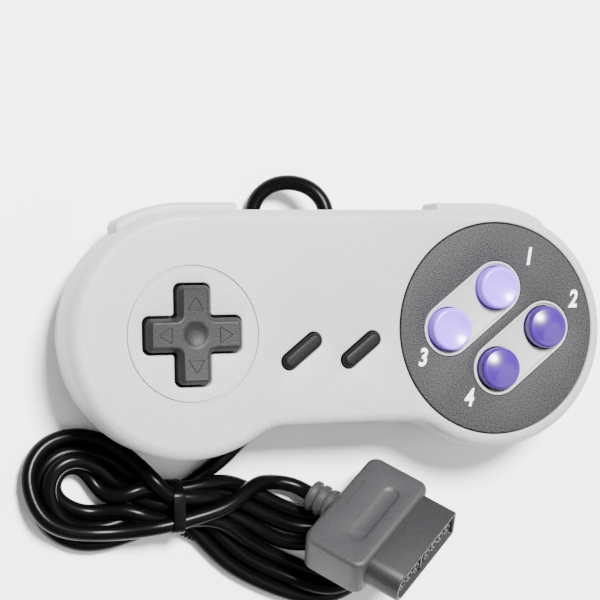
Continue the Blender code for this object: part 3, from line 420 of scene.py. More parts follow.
mark_white = plastic("printed mark", (0.80, 0.80, 0.80), None, 2500, 0.1, 0.4, 0.5)
# Painted shade: a darker colour for the arrow outlines, standing in for the shade inside engraved
# grooves.
arrow_groove_shade = plastic("painted groove shade", (0.004, 0.004, 0.0045), None, 2500, 0.1, 0.5, 0.6, shine=0.2)
rubber = plastic("membrane rubber", (0.02, 0.02, 0.022), None, 1500, 0.2, 0.7, 0.85)
board_green = plastic("board laminate", (0.05, 0.22, 0.09), (0.04, 0.17, 0.07), 700, 0.1, 0.25, 0.4)
nylon = plastic("white nylon", (0.70, 0.66, 0.55), None, 1500, 0.1, 0.4, 0.5)
wire_red = plastic("wire insulation", (0.35, 0.03, 0.03), None, 1500, 0.1, 0.3, 0.4)
steel = plastic("screw steel", (0.55, 0.55, 0.56), None, 1500, 0.1, 0.22, 0.35, metallic=1.0)
brass = plastic("contact brass", (0.70, 0.50, 0.20), None, 1500, 0.1, 0.2, 0.3, metallic=1.0)
table_white = plastic("table", (0.92, 0.92, 0.92), None, 400, 0.02, 0.5, 0.6)
floor.data.materials.append(table_white)
print("finishes", len(bpy.data.materials))

# %% [markdown]
# ## The cord's route
# The cord leaves the far edge through a gland, bends round, passes under the bridge between the
# lobes and comes out beside the left one. There it is wound four times and tied. The last turn
# leads back to the plug. The route under the housing is a smooth curve through a few points.
# %% Route
LEAD = [(EXIT_X, 25.0, 12.0), (EXIT_X, 29.0, 12.0), (-1.4, 33.2, 11.4), (-4.0, 36.6, 9.9),
        (-8.0, 38.3, 7.6), (-12.4, 37.9, 5.4), (-16.0, 35.2, 3.8), (-17.6, 31.2, 2.9),
        (-17.4, 26.8, 2.4), (-15.6, 22.0, 2.2), (-12.9, 17.0, 2.1), (-10.4, 11.5, 2.1),
        (-8.7, 5.5, 2.1), (-8.2, -0.6, 2.1), (-8.9, -6.8, 2.1), (-10.9, -13.0, 2.1),
        (-14.1, -19.0, 2.1), (-18.4, -24.6, 2.1), (-23.6, -29.4, 2.3), (-28.6, -33.2, 2.9)]
TAIL = [(-13.0, -38.8, 2.7), (-10.5, -39.1, 2.7), (-7.8, -39.8, 3.1), (-5.4, -41.0, 4.1),
        (-3.9, -42.0, 5.4)]


def through(points, per_span):
    """The Catmull-Rom curve: each span is a cubic whose slope at a point is half the step between
    that point's two neighbours."""
    p = np.asarray(points, float)
    p = np.vstack([2 * p[0] - p[1], p, 2 * p[-1] - p[-2]])
    t = np.linspace(0, 1, per_span, endpoint=False)[:, None]
    spans = [0.5 * (2 * b + (c - a) * t + (2 * a - 5 * b + 4 * c - e) * t ** 2
                    + (3 * b - a - 3 * c + e) * t ** 3)
             for a, b, c, e in zip(p[:-3], p[1:-2], p[2:-1], p[3:])]
    return np.vstack([*spans, p[-2:-1]])


def evenly(points, step):
    """The same line with its points a step apart."""
    run = np.r_[0, np.cumsum(np.linalg.norm(np.diff(points, axis=0), axis=1))]
    at = np.linspace(0, run[-1], max(2, round(run[-1] / step)) + 1)
    return np.stack([np.interp(at, run, points[:, k]) for k in range(3)], 1)


print("lead", round(float(np.linalg.norm(np.diff(through(LEAD, 8), axis=0), axis=1).sum())), "mm")

# %% The plug's place
def rotation(axis, degrees):
    """The 3 x 3 matrix of a turn about one axis."""
    return np.array(Matrix.Rotation(math.radians(degrees), 3, axis))


PLUG_WIDTH, PLUG_LENGTH, PLUG_HEIGHT = 33.5, 17.7, 11.8
PLUG_TURN = rotation("Z", -34.4) @ rotation("Y", -39) @ rotation("X", -28)
low_corners = [PLUG_TURN @ np.array([0, s * PLUG_WIDTH / 2, -PLUG_HEIGHT / 2]) for s in (-1, 1)]
PLUG_TAIL = np.array([1.35, -45.6, 0.4 - min(c[2] for c in low_corners)])
RELIEF_LENGTH, RELIEF_RADIUS = 8.0, 4.15
RELIEF_END = PLUG_TAIL + PLUG_TURN @ np.array([-RELIEF_LENGTH, 0, 0])
print("plug tail", PLUG_TAIL.round(2), "strain relief end", RELIEF_END.round(2))

# %% [markdown]
# ## Winding and settling the hank
# The turns are first laid as loops, side by side and in two layers, with each pass through the tie
# in its own place. They still cut into each other a little, so they are settled: again and again
# the points sink, their bends are evened out as a stiff cord evens its own, and any two closer than
# the cord's thickness are pushed apart. Then their spacing along the cord is restored, and they are
# kept off the table, the housing and the plug. This is short enough to write out in numpy, has
# nothing random in it and always gives the same result.
# %% Wind the turns
TIE = np.array([-41.0, -43.3])
TIE_HALF, TIE_TOP = 4.3, 9.2                     # how far the middles of the tied strands may spread
HANK_FRONT = -36.0                               # y that divides the hank from the lead beside it
RELIEF_CLEAR = 4.3                               # the relief's radius with a little air
PLUG_SHARE = 0.6                                 # of an overlap with the plug, taken away in each step
LEFT = np.array([(-50, -38), (-57.5, -32.5), (-65, -28.5), (-71, -32), (-72.5, -39.5), (-68.5, -46),
                 (-59.5, -48.5), (-50, -47)], float)
RIGHT = np.array([(-33, -49.5), (-25, -55.5), (-15, -61.5), (-4, -65), (4, -65), (10, -61.5),
                  (11, -56.3), (6.5, -52.6), (-1, -52.6), (-8, -50.8), (-13, -47), (-18, -42.5),
                  (-25, -39.7), (-33, -39.3)], float)
UPPER = [(4.2, 2.0), (4.0, 8.9), (2.0, 5.5), (0.0, 8.9)]      # places in the tie, leftward passes
LOWER = [(-4.2, 2.0), (-2.0, 5.5), (0.0, 2.0), (-4.0, 8.9)]   # and the passes back
SIDE_LEFT = [(1.9, 2.0), (-2.1, 2.0), (0.2, 5.6), (3.6, 5.8)]
SIDE_RIGHT = [(2.0, 2.0), (-2.0, 2.0), (0.2, 5.6)]


def beside(path, offset, height):
    """The path moved sideways by offset, at one height."""
    along = np.gradient(path, axis=0)
    along /= np.linalg.norm(along, axis=1)[:, None]
    return np.c_[path + offset * np.stack([along[:, 1], -along[:, 0]], 1), np.full(len(path), height)]


def in_tie(place):
    """One point of the route in the tie, from its (sideways, height) place."""
    return np.array([[TIE[0], TIE[1] + place[0], place[1]]])


loops = [np.array(LEAD[-2:])]
for k in range(4):
    loops += [in_tie(UPPER[k]), beside(LEFT, *SIDE_LEFT[k]), in_tie(LOWER[k])]
    if k < 3:
        loops.append(beside(RIGHT, *SIDE_RIGHT[k]))
loops += [np.array([(-31, -43.0, 8.0), (-22, -40.0, 6.4)]), np.array(TAIL)]
wound = evenly(through(np.vstack(loops), 12), 2.6)
print("wound", len(wound), "points")

# %% Settle them
def keep_off(p, loose):
    """Moves points out of the two lobes, from under the plug and its relief, into the tie and up
    to the table, in place."""
    under = np.clip((PARTING - 0.9 - p[:, 2]) / BACK_EDGE, 0, 1)
    wall = LOBE_RADIUS - BACK_EDGE * (1 - np.sqrt(1 - under ** 2)) + CORD
    for x in (-LOBE_X, LOBE_X):
        out = p[:, :2] - [x, 0]
        far = np.linalg.norm(out, axis=1)
        hit = (far < wall) & loose
        p[hit, :2] += (out / far[:, None] * (wall - far)[:, None])[hit]
    local = (p - PLUG_TAIL) @ PLUG_TURN
    sunk = local[:, 2] + PLUG_HEIGHT / 2 + CORD
    hit = ((local[:, 0] > -1) & (local[:, 0] < 30) & (abs(local[:, 1]) < PLUG_WIDTH / 2 + CORD)
           & (sunk > 0) & (local[:, 2] < 0) & loose)
    p[hit] -= PLUG_SHARE * PLUG_TURN[:, 2] * sunk[hit, None]
    axis = RELIEF_END - PLUG_TAIL
    t = np.clip((p - PLUG_TAIL) @ axis / (axis @ axis), 0, 1)
    out = p - PLUG_TAIL - t[:, None] * axis
    far = np.linalg.norm(out, axis=1)
    clear = RELIEF_CLEAR + CORD
    hit = (far < clear) & loose & (np.arange(len(p)) < len(p) - 12)
    p[hit] += (PLUG_SHARE * out / far[:, None] * (clear - far)[:, None])[hit]
    tied = np.clip(1.3 - abs(p[:, 0] - TIE[0]) / 4, 0, 1) * (p[:, 1] < HANK_FRONT) * loose
    side = p[:, 1] - TIE[1]
    p[:, 1] -= tied * (side - np.clip(side, -TIE_HALF, TIE_HALF))
    p[:, 2] -= tied * np.clip(p[:, 2] - TIE_TOP, 0, None)
    p[:, 2] = np.maximum(p[:, 2], CORD)


def settle(points, steps=900, thick=2 * CORD, sink=0.03, pull=0.06, stiff=0.35, near=6):
    """Repeats: sink, straighten, push apart any two points closer than the cord's thickness,
    restore the spacing along the cord, keep off the rest. With lean = mean of the two neighbours
    less the point, straightening adds pull * lean, and stiff * (lean less its own neighbours'
    mean), which evens out the curvature as a stiff cord does. Points fewer than near steps apart
    along the cord don't push each other."""
    p = points.copy()
    count = len(p)
    loose = np.ones(count, bool)
    loose[:3] = loose[-5:] = False
    order = np.arange(count)
    same = abs(order[:, None] - order) < near
    rest = np.linalg.norm(np.diff(p, axis=0), axis=1)
    for step in range(steps):
        p[loose, 2] -= sink * min(1, 2 - 2 * step / steps)
        lean = np.zeros_like(p)
        lean[1:-1] = (p[:-2] + p[2:]) / 2 - p[1:-1]
        bow = np.zeros_like(p)
        bow[1:-1] = lean[1:-1] - (lean[:-2] + lean[2:]) / 2
        p[loose] += (stiff * bow + pull * lean)[loose]
        for _ in range(2):
            apart = p[:, None] - p
            gap = np.sqrt(np.einsum("ijk,ijk->ij", apart, apart)) + 1e-9
            push = np.where((gap < thick) & ~same, 0.25 * (thick - gap) / gap, 0)
            p[loose] += np.einsum("ij,ijk->ik", push, apart)[loose]
        for _ in range(4):
            link = np.diff(p, axis=0)
            long = np.linalg.norm(link, axis=1)
            fix = link * (0.5 * (long - rest) / long)[:, None]
            p[:-1] += fix * loose[:-1, None]
            p[1:] -= fix * loose[1:, None]
        keep_off(p, loose)
    return p


hank = settle(wound)
gaps = np.linalg.norm(hank[:, None] - hank, axis=2)
gaps[abs(np.subtract.outer(np.arange(len(hank)), np.arange(len(hank)))) < 6] = 99
print("closest strands", round(float(gaps.min()), 2), "mm apart; top",
      round(float(hank[:, 2].max()) + CORD, 1))

# %% The cord
# Through the gland, along the lead and the settled hank, and 2.2 mm back into the plug from the
# relief's free end.
route = np.vstack([through(LEAD[:-1], 6)[:-1], through(hank, 3)[:-1],
                   [RELIEF_END + PLUG_TURN @ np.array([2.2, 0, 0])]])
route = through(evenly(route, 1.6), 2)
route[:, 2] = np.maximum(route[:, 2], CORD)
cord_data = bpy.data.curves.new("cord", "CURVE")
cord_data.dimensions, cord_data.bevel_depth, cord_data.bevel_resolution = "3D", CORD * MM, 5
cord_data.use_fill_caps = True
line = cord_data.splines.new("POLY")
line.points.add(len(route) - 1)
line.points.foreach_set("co", np.c_[(route + HOME) * MM, np.ones(len(route))].ravel())
line.use_smooth = True
cord_data.materials.append(cord_black)
cord = bpy.data.objects.new("cord", cord_data)
bpy.context.scene.collection.objects.link(cord)
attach(cord, "housing")
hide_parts("cord_lead", "cord_tail", "cord_hank")

# %% [markdown]
# ## The tie
# A twist tie holds the turns: a thin strip round all the passes, its two ends wrung together. The
# strip follows the smallest outline round the strands where they pass, a little way out.
# %% Tie
def around_strands(x):
    """The outline in (y, z) round the strands that cross the plane at x: for every direction, the
    furthest strand's reach, so that it is the outline of a tight band."""
    near = hank[(abs(hank[:, 0] - x) < 1.4) & (hank[:, 1] < HANK_FRONT)][:, 1:]
    ways = turn(0, 360, 73)[:-1]
    reach = (near @ ways.T).max(0) + CORD + 0.25
    slope = np.gradient(np.r_[reach[-1], reach, reach[0]])[1:-1] / math.radians(5)
    band = reach[:, None] * ways + slope[:, None] * np.stack([-ways[:, 1], ways[:, 0]], 1)
    band[:, 1] = np.maximum(band[:, 1], 0.35)
    return band


def tube(path, radius, count=10):
    """Circles square to the path, skinned and closed."""
    along = np.gradient(path, axis=0)
    along /= np.linalg.norm(along, axis=1)[:, None]
    side = np.cross(along, [0.13, 0.21, 1.0])
    side /= np.linalg.norm(side, axis=1)[:, None]
    up = np.cross(side, along)
    c = turn(0, 360, count + 1)[:-1]
    r = np.broadcast_to(radius, len(path))[:, None, None]
    table = path[:, None] + r * (c[None, :, :1] * side[:, None] + c[None, :, 1:] * up[:, None])
    return join(grid(table), lid(table[0]), lid(table[-1]))


band = around_strands(TIE[0])
centre = band.mean(0)
section = [(-1.5, 0.0), (-1.5, 0.35), (-0.9, 0.5), (0.0, 0.42), (0.9, 0.5), (1.5, 0.35), (1.5, 0.0)]
out = (band - centre) / np.linalg.norm(band - centre, axis=1)[:, None]
strip = np.stack([np.c_[np.full(len(band), TIE[0] + x), band + out * grow] for x, grow in section])
strip[..., 2] = np.maximum(strip[..., 2], 0.05)
lowest = band[np.argmin(band @ np.array([0.75, 0.66]))]
t = np.linspace(0, 1, 40)[:, None]
tail_line = np.array([TIE[0] + 0.5, *lowest]) + t * [6.5, -3.4, 0.9] + [0, 0.3, 1.1]
wring = 7 * math.pi * t
ends = [tube(tail_line + 0.5 * s * np.c_[np.sin(wring) * 0.4, np.cos(wring), np.sin(wring)], 0.55, 8)
        for s in (1, -1)]
tie = piece("tie", join(grid(strip), *ends), cord_black, replaces=["cord_tie"])

# %% [markdown]
# ## Front shell
# A wall, a rounded edge and a flat face with openings: a cross for the pad, two slots, a round seat
# for the dark plate, and a fine ring round the pad. Every opening has a small rounded rim, made by
# growing and shrinking its own outline, and the two button slots have a low raised lip. The wall is
# left open where the shoulder buttons and the cord come through, and each opening gets the
# thickness of the wall.
# %% Openings
PAD_HOLE = cross(12.65, 4.7, 1.7, 0.7)
PAD_RING = circle((-LOBE_X, 0), 16.65, 120)
SEAT = circle((LOBE_X, 0), PLATE_RADIUS + 0.3, 140)
RIM = [(0.4, TOP), (0.22, TOP - 0.05), (0.07, TOP - 0.18), (0.0, TOP - 0.4)]
PILL_HOLES = [pill(place, 12.6, 4.4, PILL_TILT) for place in PILLS.values()]
SLOT_LIP = 0.85                                  # how far the slot's lip reaches inward
CORD_HOLE = 3.5
first, last = 3, len(FAR_X) + 11                 # the outline's columns at a button opening's ends
count = len(housing())
button_gaps = [slice(first, last), slice(count - 1 - last, count - 1 - first)]


def slot(a, b, radius):
    """The recess that two buttons share: a pill along the line between them."""
    a, b = np.array(BUTTONS[a]), np.array(BUTTONS[b])
    run = b - a
    return pill((a + b) / 2, float(np.linalg.norm(run)) + 2 * radius, 2 * radius,
                math.atan2(run[1], run[0]), 24)


SLOT_PAIRS = (("button_left", "button_top"), ("button_bottom", "button_right"))
SLOTS = [slot(*pair, SLOT_RADIUS) for pair in SLOT_PAIRS]


def opened(walls, gap_rows, window_rows):
    """Which quads of a wall stay: not those in the two button openings or the cord's window."""
    keep = np.ones((len(walls) - 1, count), bool)
    for gap in button_gaps:
        keep[gap_rows, gap] = False
    keep[window_rows, count - 1] = False
    return keep


def behind(outer):
    """The points of the wall's inner side straight in from the outer ones, at the same x."""
    beyond = np.maximum(abs(outer[..., 0]) - LOBE_X, 0)
    return np.stack([outer[..., 0], np.sqrt((LOBE_RADIUS - WALL) ** 2 - beyond ** 2)], -1)


def lining(edge_height, heights, inset):
    """The wall's thickness round both button openings, level edge and upright ends."""
    parts = []
    for gap in button_gaps:
        run = slice(gap.start, gap.stop + 1)
        outer = housing(-inset(edge_height))[run]
        inner = behind(outer)
        z = np.full(len(outer), edge_height)
        parts.append(grid(np.stack([np.c_[outer, z], np.c_[inner, z]]), False))
        for column in (gap.start, gap.stop):
            out_line = np.array([[*housing(-inset(h))[column], h] for h in heights])
            in_line = np.c_[behind(out_line), heights]
            parts.append(grid(np.stack([out_line, in_line]), False))
    return parts


def cord_window(low, high, seam, inset):
    """The piece of far wall round half of the cord's hole, and the hole's thickness."""
    lift = 1 if high > seam else -1
    half = np.array([EXIT_X, PARTING]) + CORD_HOLE * turn(180, 0, 21) * [1, lift]
    half[[0, -1], 1] = seam
    edge = high if lift > 0 else low
    climb = [seam, (low + high) / 2, edge]
    sides = np.array([[WINDOW_X, z] for z in climb] + [[-WINDOW_X, z] for z in climb[::-1]])
    flat, faces = patch(np.vstack([half, sides]))
    wall = np.c_[flat[:, 0], LOBE_RADIUS - inset(flat[:, 1]), flat[:, 1]]
    hole = np.c_[half[:, 0], LOBE_RADIUS - inset(half[:, 1]), half[:, 1]]
    return [(wall, faces), grid(np.stack([hole, hole * [1, 0, 1] + [0, LOBE_RADIUS - WALL, 0]]), False)]


print("openings:", 2 + len(PILL_HOLES) + len(SLOTS), "in the face")

# %% Front shell
def upright(height):
    """The front shell's wall stands straight, so it draws in by nothing at any height."""
    return np.zeros_like(np.asarray(height, float))


walls = [(-WALL, PARTING + 1.5), (-WALL, PARTING), (-0.35, PARTING), (-0.1, PARTING + 0.08),
         (0, PARTING + 0.3), (0, WINDOW_HIGH), (0, OPENING_HIGH), (0, TOP - FACE_EDGE)]
walls += bend((0, TOP - FACE_EDGE), (-FACE_EDGE, TOP), 11)[1:]
table = rings(housing, walls)
parts = [grid(table, keep=opened(walls, slice(0, 6), slice(0, 5)))]
parts += lining(OPENING_HIGH, [PARTING, WINDOW_HIGH, OPENING_HIGH], upright)
parts += cord_window(PARTING, WINDOW_HIGH, PARTING, upright)
groove = [(0.38, TOP), (0.26, TOP - 0.5), (-0.26, TOP - 0.5), (-0.38, TOP)]
rim_grow, ring_grow = RIM[0][0], groove[0][0]
face_holes = [PAD_RING(ring_grow), SEAT(rim_grow), *(hole(rim_grow) for hole in PILL_HOLES)]
parts += [patch(housing(-FACE_EDGE), face_holes, height=TOP),
          patch(PAD_RING(-ring_grow), [PAD_HOLE(rim_grow)], height=TOP), grid(rings(PAD_RING, groove))]
parts += [grid(rings(hole, RIM + [(0, FACE_UNDER)])) for hole in (PAD_HOLE, *PILL_HOLES)]
parts.append(grid(rings(SEAT, RIM + [(0, SEAT_FLOOR)])))
for pair, names in zip(SLOTS, SLOT_PAIRS):
    holes = [circle(BUTTONS[n], BUTTON_RADIUS + 0.3, 48) for n in names]
    edge = [(0, SEAT_FLOOR), (0, TOP - 0.15)] + bend((0, TOP - 0.15), (-0.2, TOP + 0.05), 4)[1:]
    edge += [(-0.45, TOP + 0.05), (-0.7, TOP - 0.15), (-SLOT_LIP, SLOT_TOP)]
    parts += [grid(rings(pair, edge)), patch(pair(-SLOT_LIP), [h(0.25) for h in holes], height=SLOT_TOP)]
    hole_edge = [(0.25, SLOT_TOP), (0.07, SLOT_TOP - 0.07), (0, SLOT_TOP - 0.25), (0, FACE_UNDER)]
    parts += [grid(rings(h, hole_edge)) for h in holes]
piece("front shell", join(*parts), shell_grey, replaces=["front_shell"], smooth=50)

# %% [markdown]
# ## Rear shell
# Each lobe has a bowl-shaped back, a quarter ellipse turned about the lobe's middle, flat where it
# rests. Between the lobes the back is hollowed to a bridge, with room for the cord. Five screws
# come up through deep wells.
# %% Rear shell
def back_inset(height):
    """How far the wall draws in below the parting line: b (1 - sqrt(1 - (drop / b)^2))."""
    drop = np.clip((PARTING - np.asarray(height, float)) / BACK_EDGE, 0, 1)
    return BACK_EDGE * (1 - np.sqrt(1 - drop ** 2))


def bowl_height(x):
    """The bowl's height under plan points around a lobe at x; the inverse of back_inset."""
    def height(plan):
        inset = np.clip((LOBE_RADIUS - np.linalg.norm(plan - [x, 0], axis=1)) / BACK_EDGE, 0, 1)
        return PARTING - BACK_EDGE * np.sqrt(np.clip(1 - (1 - inset) ** 2, 0, 1))
    return height


SEAM = PARTING - 0.3
heights = [SEAM - 0.3, OPENING_LOW, WINDOW_LOW, 6.7, BRIDGE]
walls = [(-WALL, SEAM - 1.5), (-WALL, SEAM), (-0.35, SEAM), (-0.1, SEAM - 0.08)]
walls += [(-float(back_inset(h)), h) for h in heights]
parts = [grid(rings(housing, walls), keep=opened(walls, slice(0, 5), slice(0, 6)))]
parts += lining(OPENING_LOW, [SEAM, OPENING_LOW], back_inset)
parts += cord_window(WINDOW_LOW, SEAM, SEAM, back_inset)
lip = float(back_inset(BRIDGE))
far, lobe, rest = right_half(-lip)
inner = np.array([LOBE_X, 0]) + (LOBE_RADIUS - lip) * turn(90, 236.8, 40)
half = np.vstack([far, inner, rest])
well_end = [(0, WELL_FLOOR), (-1.2, WELL_FLOOR)]
middle_well = circle((0, 8.0), WELL_RADIUS, 32)
parts.append(patch(np.vstack([half, half[::-1] * [-1, 1]]), [middle_well()], height=BRIDGE))
parts.append(grid(rings(middle_well, [(0, BRIDGE)] + well_end)))
for x in (-LOBE_X, LOBE_X):
    wells = [circle(place, WELL_RADIUS, 32) for place in SCREWS if place[0] * x > 0]
    dots = np.vstack([np.array([x, 0]) + r * turn(0, 360, 73)[:-1] for r in np.linspace(18.6, 28, 12)])
    bowl = bowl_height(x)
    edge = circle((x, 0), LOBE_RADIUS - lip, 120)()
    parts.append(patch(edge, [well() for well in wells], dots, bowl))
    for well in wells:
        mouth = np.c_[well(), bowl(well())]
        parts.append(grid(np.concatenate([mouth[None], rings(well, well_end)])))
piece("rear shell", join(*parts), shell_grey, replaces=["rear_shell"], smooth=50)

# %% [markdown]
# ## Dark plate and its marks
# The plate is a thin disc let into the face, with two slots cut through it. Beside each button is a
# small white printed number.
# %% Plate
PLATE = circle((LOBE_X, 0), PLATE_RADIUS, 140)
top_edge = [(0, TOP - 1.0), (0, TOP - 0.25)] + bend((0, TOP - 0.25), (-0.25, TOP), 4)[1:]
slot_edge = [(0.35, TOP), (0.24, TOP - 0.04), (0.16, TOP - 0.14), (0.14, TOP - 0.3), (0.14, TOP - 1.0)]
parts = [grid(rings(PLATE, top_edge)), patch(PLATE(-0.25), [s(0.35) for s in SLOTS], height=TOP)]
parts += [grid(rings(s, slot_edge)) for s in SLOTS]
piece("button plate", join(*parts), plate_grey, replaces=["button_plate"])

# %% Marks
MARKS = {"1": (50.2, 18.2), "2": (62.9, 7.0), "3": (19.7, -7.2), "4": (32.4, -17.8)}
for mark, (x, y) in MARKS.items():
    text = bpy.data.curves.new("mark", "FONT")
    text.body, text.size, text.align_x, text.align_y = mark, 6.2, "CENTER", "CENTER"
    text.shear, text.extrude, text.resolution_u, text.offset = 0.25, 0.02, 4, 0.17
    holder = bpy.data.objects.new("mark", text)
    shape = bpy.data.meshes.new_from_object(holder)
    spots = np.array([v.co for v in shape.vertices]) * [0.8, 1, 1] + [x, y, TOP + 0.02]
    piece(f"mark {mark}", (spots, [list(f.vertices) for f in shape.polygons]), mark_white, weld=0.0001)
    bpy.data.objects.remove(holder)
    bpy.data.curves.remove(text)
    bpy.data.meshes.remove(shape)

# %% [markdown]
# ## Round buttons
# The far pair is pale with hollow tops and the near pair is deep in colour with domed tops. Each is
# a turned profile: a flange hidden under the face, a straight side, a rounded edge and the top.
# %% Round buttons
def turned(profile, centre, count=64):
    """The profile's (radius, height) pairs swept round an upright axis, closed at both ends."""
    table = rings(circle(centre, 0.0, count), profile)
    return join(grid(table), lid(table[0]), lid(table[-1]))


def top_profile(radius, top, edge, crown):
    """A rounded edge, then a shallow bowl or dome: height = top + crown (1 - (r / flat)^2)."""
    flat = radius - edge
    r = np.linspace(flat, 0.05, 14)
    return bend((radius, top - edge), (flat, top), 7)[:-1] + [
        (a, top + crown * (1 - (a / flat) ** 2)) for a in r]


for name, place in BUTTONS.items():
    domed = name in ("button_right", "button_bottom")
    flange = [(7.0, FLANGE_LOW), (7.0, FLANGE_HIGH), (BUTTON_RADIUS, FLANGE_HIGH)]
    shape = turned(flange + top_profile(BUTTON_RADIUS, BUTTON_TOP, 1.1 if domed else 0.8,
                                        0.8 if domed else -0.9), place)
    piece(name.replace("_", " "), shape, purple if domed else lavender, body=name, replaces=[name])

# %% [markdown]
# ## Direction pad
# One rocking cross. Its arms have wide sloping flanks and rise a little to their ends, its middle
# has a round thumb hollow, and each arm carries a fine arrow outline: a thin ridge coloured darker
# than the pad, painted shade standing in for the shade inside an engraved groove.
# %% Direction pad
def pad_top(plan):
    """Height of the pad's top: 0.3 (r / reach)^2 up to the ends, less a round hollow."""
    r = np.linalg.norm(plan - [-LOBE_X, 0], axis=1)
    hollow = 0.75 * np.clip(1 - (r / 3.1) ** 2, 0, 1) ** 0.8
    return PAD_TOP + 0.3 * (r / 10.5) ** 2 - hollow


PAD = cross(12.05, 4.1, 1.5, 0.9)
PAD_ROUND = 1.15                                 # how far the top's rounded edge reaches inward
plan_grid = np.stack(np.meshgrid(np.arange(-53.5, -28.5, 0.5), np.arange(-12.5, 12.6, 0.5)), -1)
polar = np.vstack([np.array([-LOBE_X, 0]) + r * turn(0, 360, 41)[:-1]
                   for r in (0.8, 1.5, 2.1, 2.6, 3.1)])
square = plan_grid.reshape(-1, 2)
square = square[np.linalg.norm(square - [-LOBE_X, 0], axis=1) > 3.4]
parts = [patch(PAD(-PAD_ROUND), dots=np.vstack([square, polar]), height=pad_top)]
flanks = [(0.0, 21.36), (0.0, PAD_TOP - 2.0), (-0.12, PAD_TOP - 1.4), (-0.8, PAD_TOP - 0.3),
          (-1.0, PAD_TOP - 0.07)]
follow = np.array([0, 0, 0.3, 0.85, 0.97])       # how much of the top's rise each of those rows takes
sides = rings(PAD, flanks)
crest = np.c_[PAD(-PAD_ROUND), pad_top(PAD(-PAD_ROUND))]
sides[..., 2:] += (crest[:, 2] - PAD_TOP)[None, :, None] * follow[:, None, None]
parts.append(grid(np.concatenate([sides, crest[None]])))
parts.append(turned([(13.95, 20.2), (13.95, 21.36), (4.0, 21.36)], (-LOBE_X, 0)))
piece("direction pad", join(*parts), pad_grey, body="direction_pad", replaces=["direction_pad"],
      smooth=30)


def arrow(angle):
    """A triangular outline that points outward along one arm, just above its top."""
    way, across = turn(angle, angle, 1)[0], turn(angle + 90, angle + 90, 1)[0]
    tips = [way * 9.3, way * 6.1 + across * 2.0, way * 6.1 - across * 2.0]
    line = []
    for a, b in zip(tips, tips[1:] + tips[:1]):
        line += [a + (b - a) * t for t in np.linspace(0.04, 0.96, 8)]
    line = np.array(line + line[:2]) + [-LOBE_X, 0]
    return tube(np.c_[line, pad_top(line) + 0.02], 0.11, 6)


# The arrows' darker colour is painted shade, standing in for the shade inside engraved grooves.
piece("pad arrows", join(*(arrow(a) for a in (0, 90, 180, 270))), arrow_groove_shade,
      body="direction_pad", weld=0.0001)

# %% Select and start buttons
for name, place in PILLS.items():
    outline = pill(place, 12.0, 3.8, PILL_TILT)
    profile = [(1.0, FLANGE_LOW), (1.0, FLANGE_HIGH), (0, FLANGE_HIGH), (0, TOP + 0.5)]
    profile += bend((0, TOP + 0.5), (-1.1, TOP + 1.6), 7)[1:]
    table = rings(outline, profile)
    top = patch(outline(-1.1), height=TOP + 1.6)
    piece(name.replace("_", " "), join(grid(table), lid(table[0]), top), key_grey, body=name,
          replaces=[name])

# %% [markdown]
# ## Shoulder buttons
# Each follows the housing's edge, 2 mm proud of it. It is a rounded section swept along that edge,
# drawn in a little at its two ends, and it swings on an upright pin near its inner end. Its outer
# end is an upright plane, as the opening's is, so that it clears the opening when it is pressed.
# %% Shoulder buttons
SHOULDER_LOW, SHOULDER_HIGH, SHOULDER_PROUD, SHOULDER_X = 9.8, 19.2, 2.0, 27.0
PIN_X, PIN_Y = 24.0, 24.3


def shoulder(sign):
    """Sections of (reach, height) placed along the straight edge and then round the lobe."""
    end = math.degrees(math.acos(17.3 / (LOBE_RADIUS - 0.5)))
    straight_x = np.linspace(SHOULDER_X, LOBE_X, 6)[:-1]
    base = np.vstack([np.c_[straight_x, np.full(5, 0.0)], np.zeros((16, 2)) + [LOBE_X, 0]])
    ways = np.vstack([np.tile([0.0, 1.0], (5, 1)), turn(90, end, 16)])
    base = np.vstack([base[:1], base[:1] + [0.35, 0], base[1:], base[-1:]])
    ways = np.vstack([ways[:1], ways[:1], ways[1:-1], turn(end + 0.7, end + 0.7, 1), ways[-1:]])
    draw = np.zeros(len(base))
    draw[[0, -1]] = 0.5
    table = []
    for spot, way, inset in zip(base, ways, draw):
        low, high = SHOULDER_LOW + inset, SHOULDER_HIGH - inset
        inner, proud = LOBE_RADIUS - 4.0, LOBE_RADIUS + SHOULDER_PROUD - inset
        section = [(inner, low), (inner, high)]
        section += [(b, a) for a, b in bend((high, LOBE_RADIUS + 0.9), (high - 1.1, proud), 6)]
        section += [(b, a) for a, b in bend((low, LOBE_RADIUS + 0.9), (low + 1.1, proud), 6)][::-1]
        table.append([[spot[0] + way[0] * r, spot[1] + way[1] * r, z] for r, z in section])
    table = np.array(table)
    table[..., 0] = np.minimum(table[..., 0], BUTTON_X)
    table *= [sign, 1, 1]
    return join(grid(table), lid(table[0]), lid(table[-1]))


def lever(sign):
    """The hidden arm and barrel that carry the button on its pin."""
    box = np.array([(24, 23.8), (32, 23.8), (32, 27.2), (24, 27.2)], float) * [sign, 1]
    bar = np.stack([np.c_[box, np.full(4, z)] for z in (11.3, 17.7)])
    walls = [(1.15, 10.3), (2.4, 10.3), (2.4, SHOULDER_HIGH), (1.15, SHOULDER_HIGH)]
    barrel = rings(circle((PIN_X * sign, PIN_Y), 0, 32), walls)
    return [grid(bar), lid(bar[0]), lid(bar[1]), grid(np.concatenate([barrel, barrel[:1]]))]


for sign, name in ((-1, "left"), (1, "right")):
    piece(f"shoulder button {name}", join(shoulder(sign), *lever(sign)), shell_grey,
          body=f"shoulder_button_{name}", replaces=[f"shoulder_button_{name}"], smooth=45)

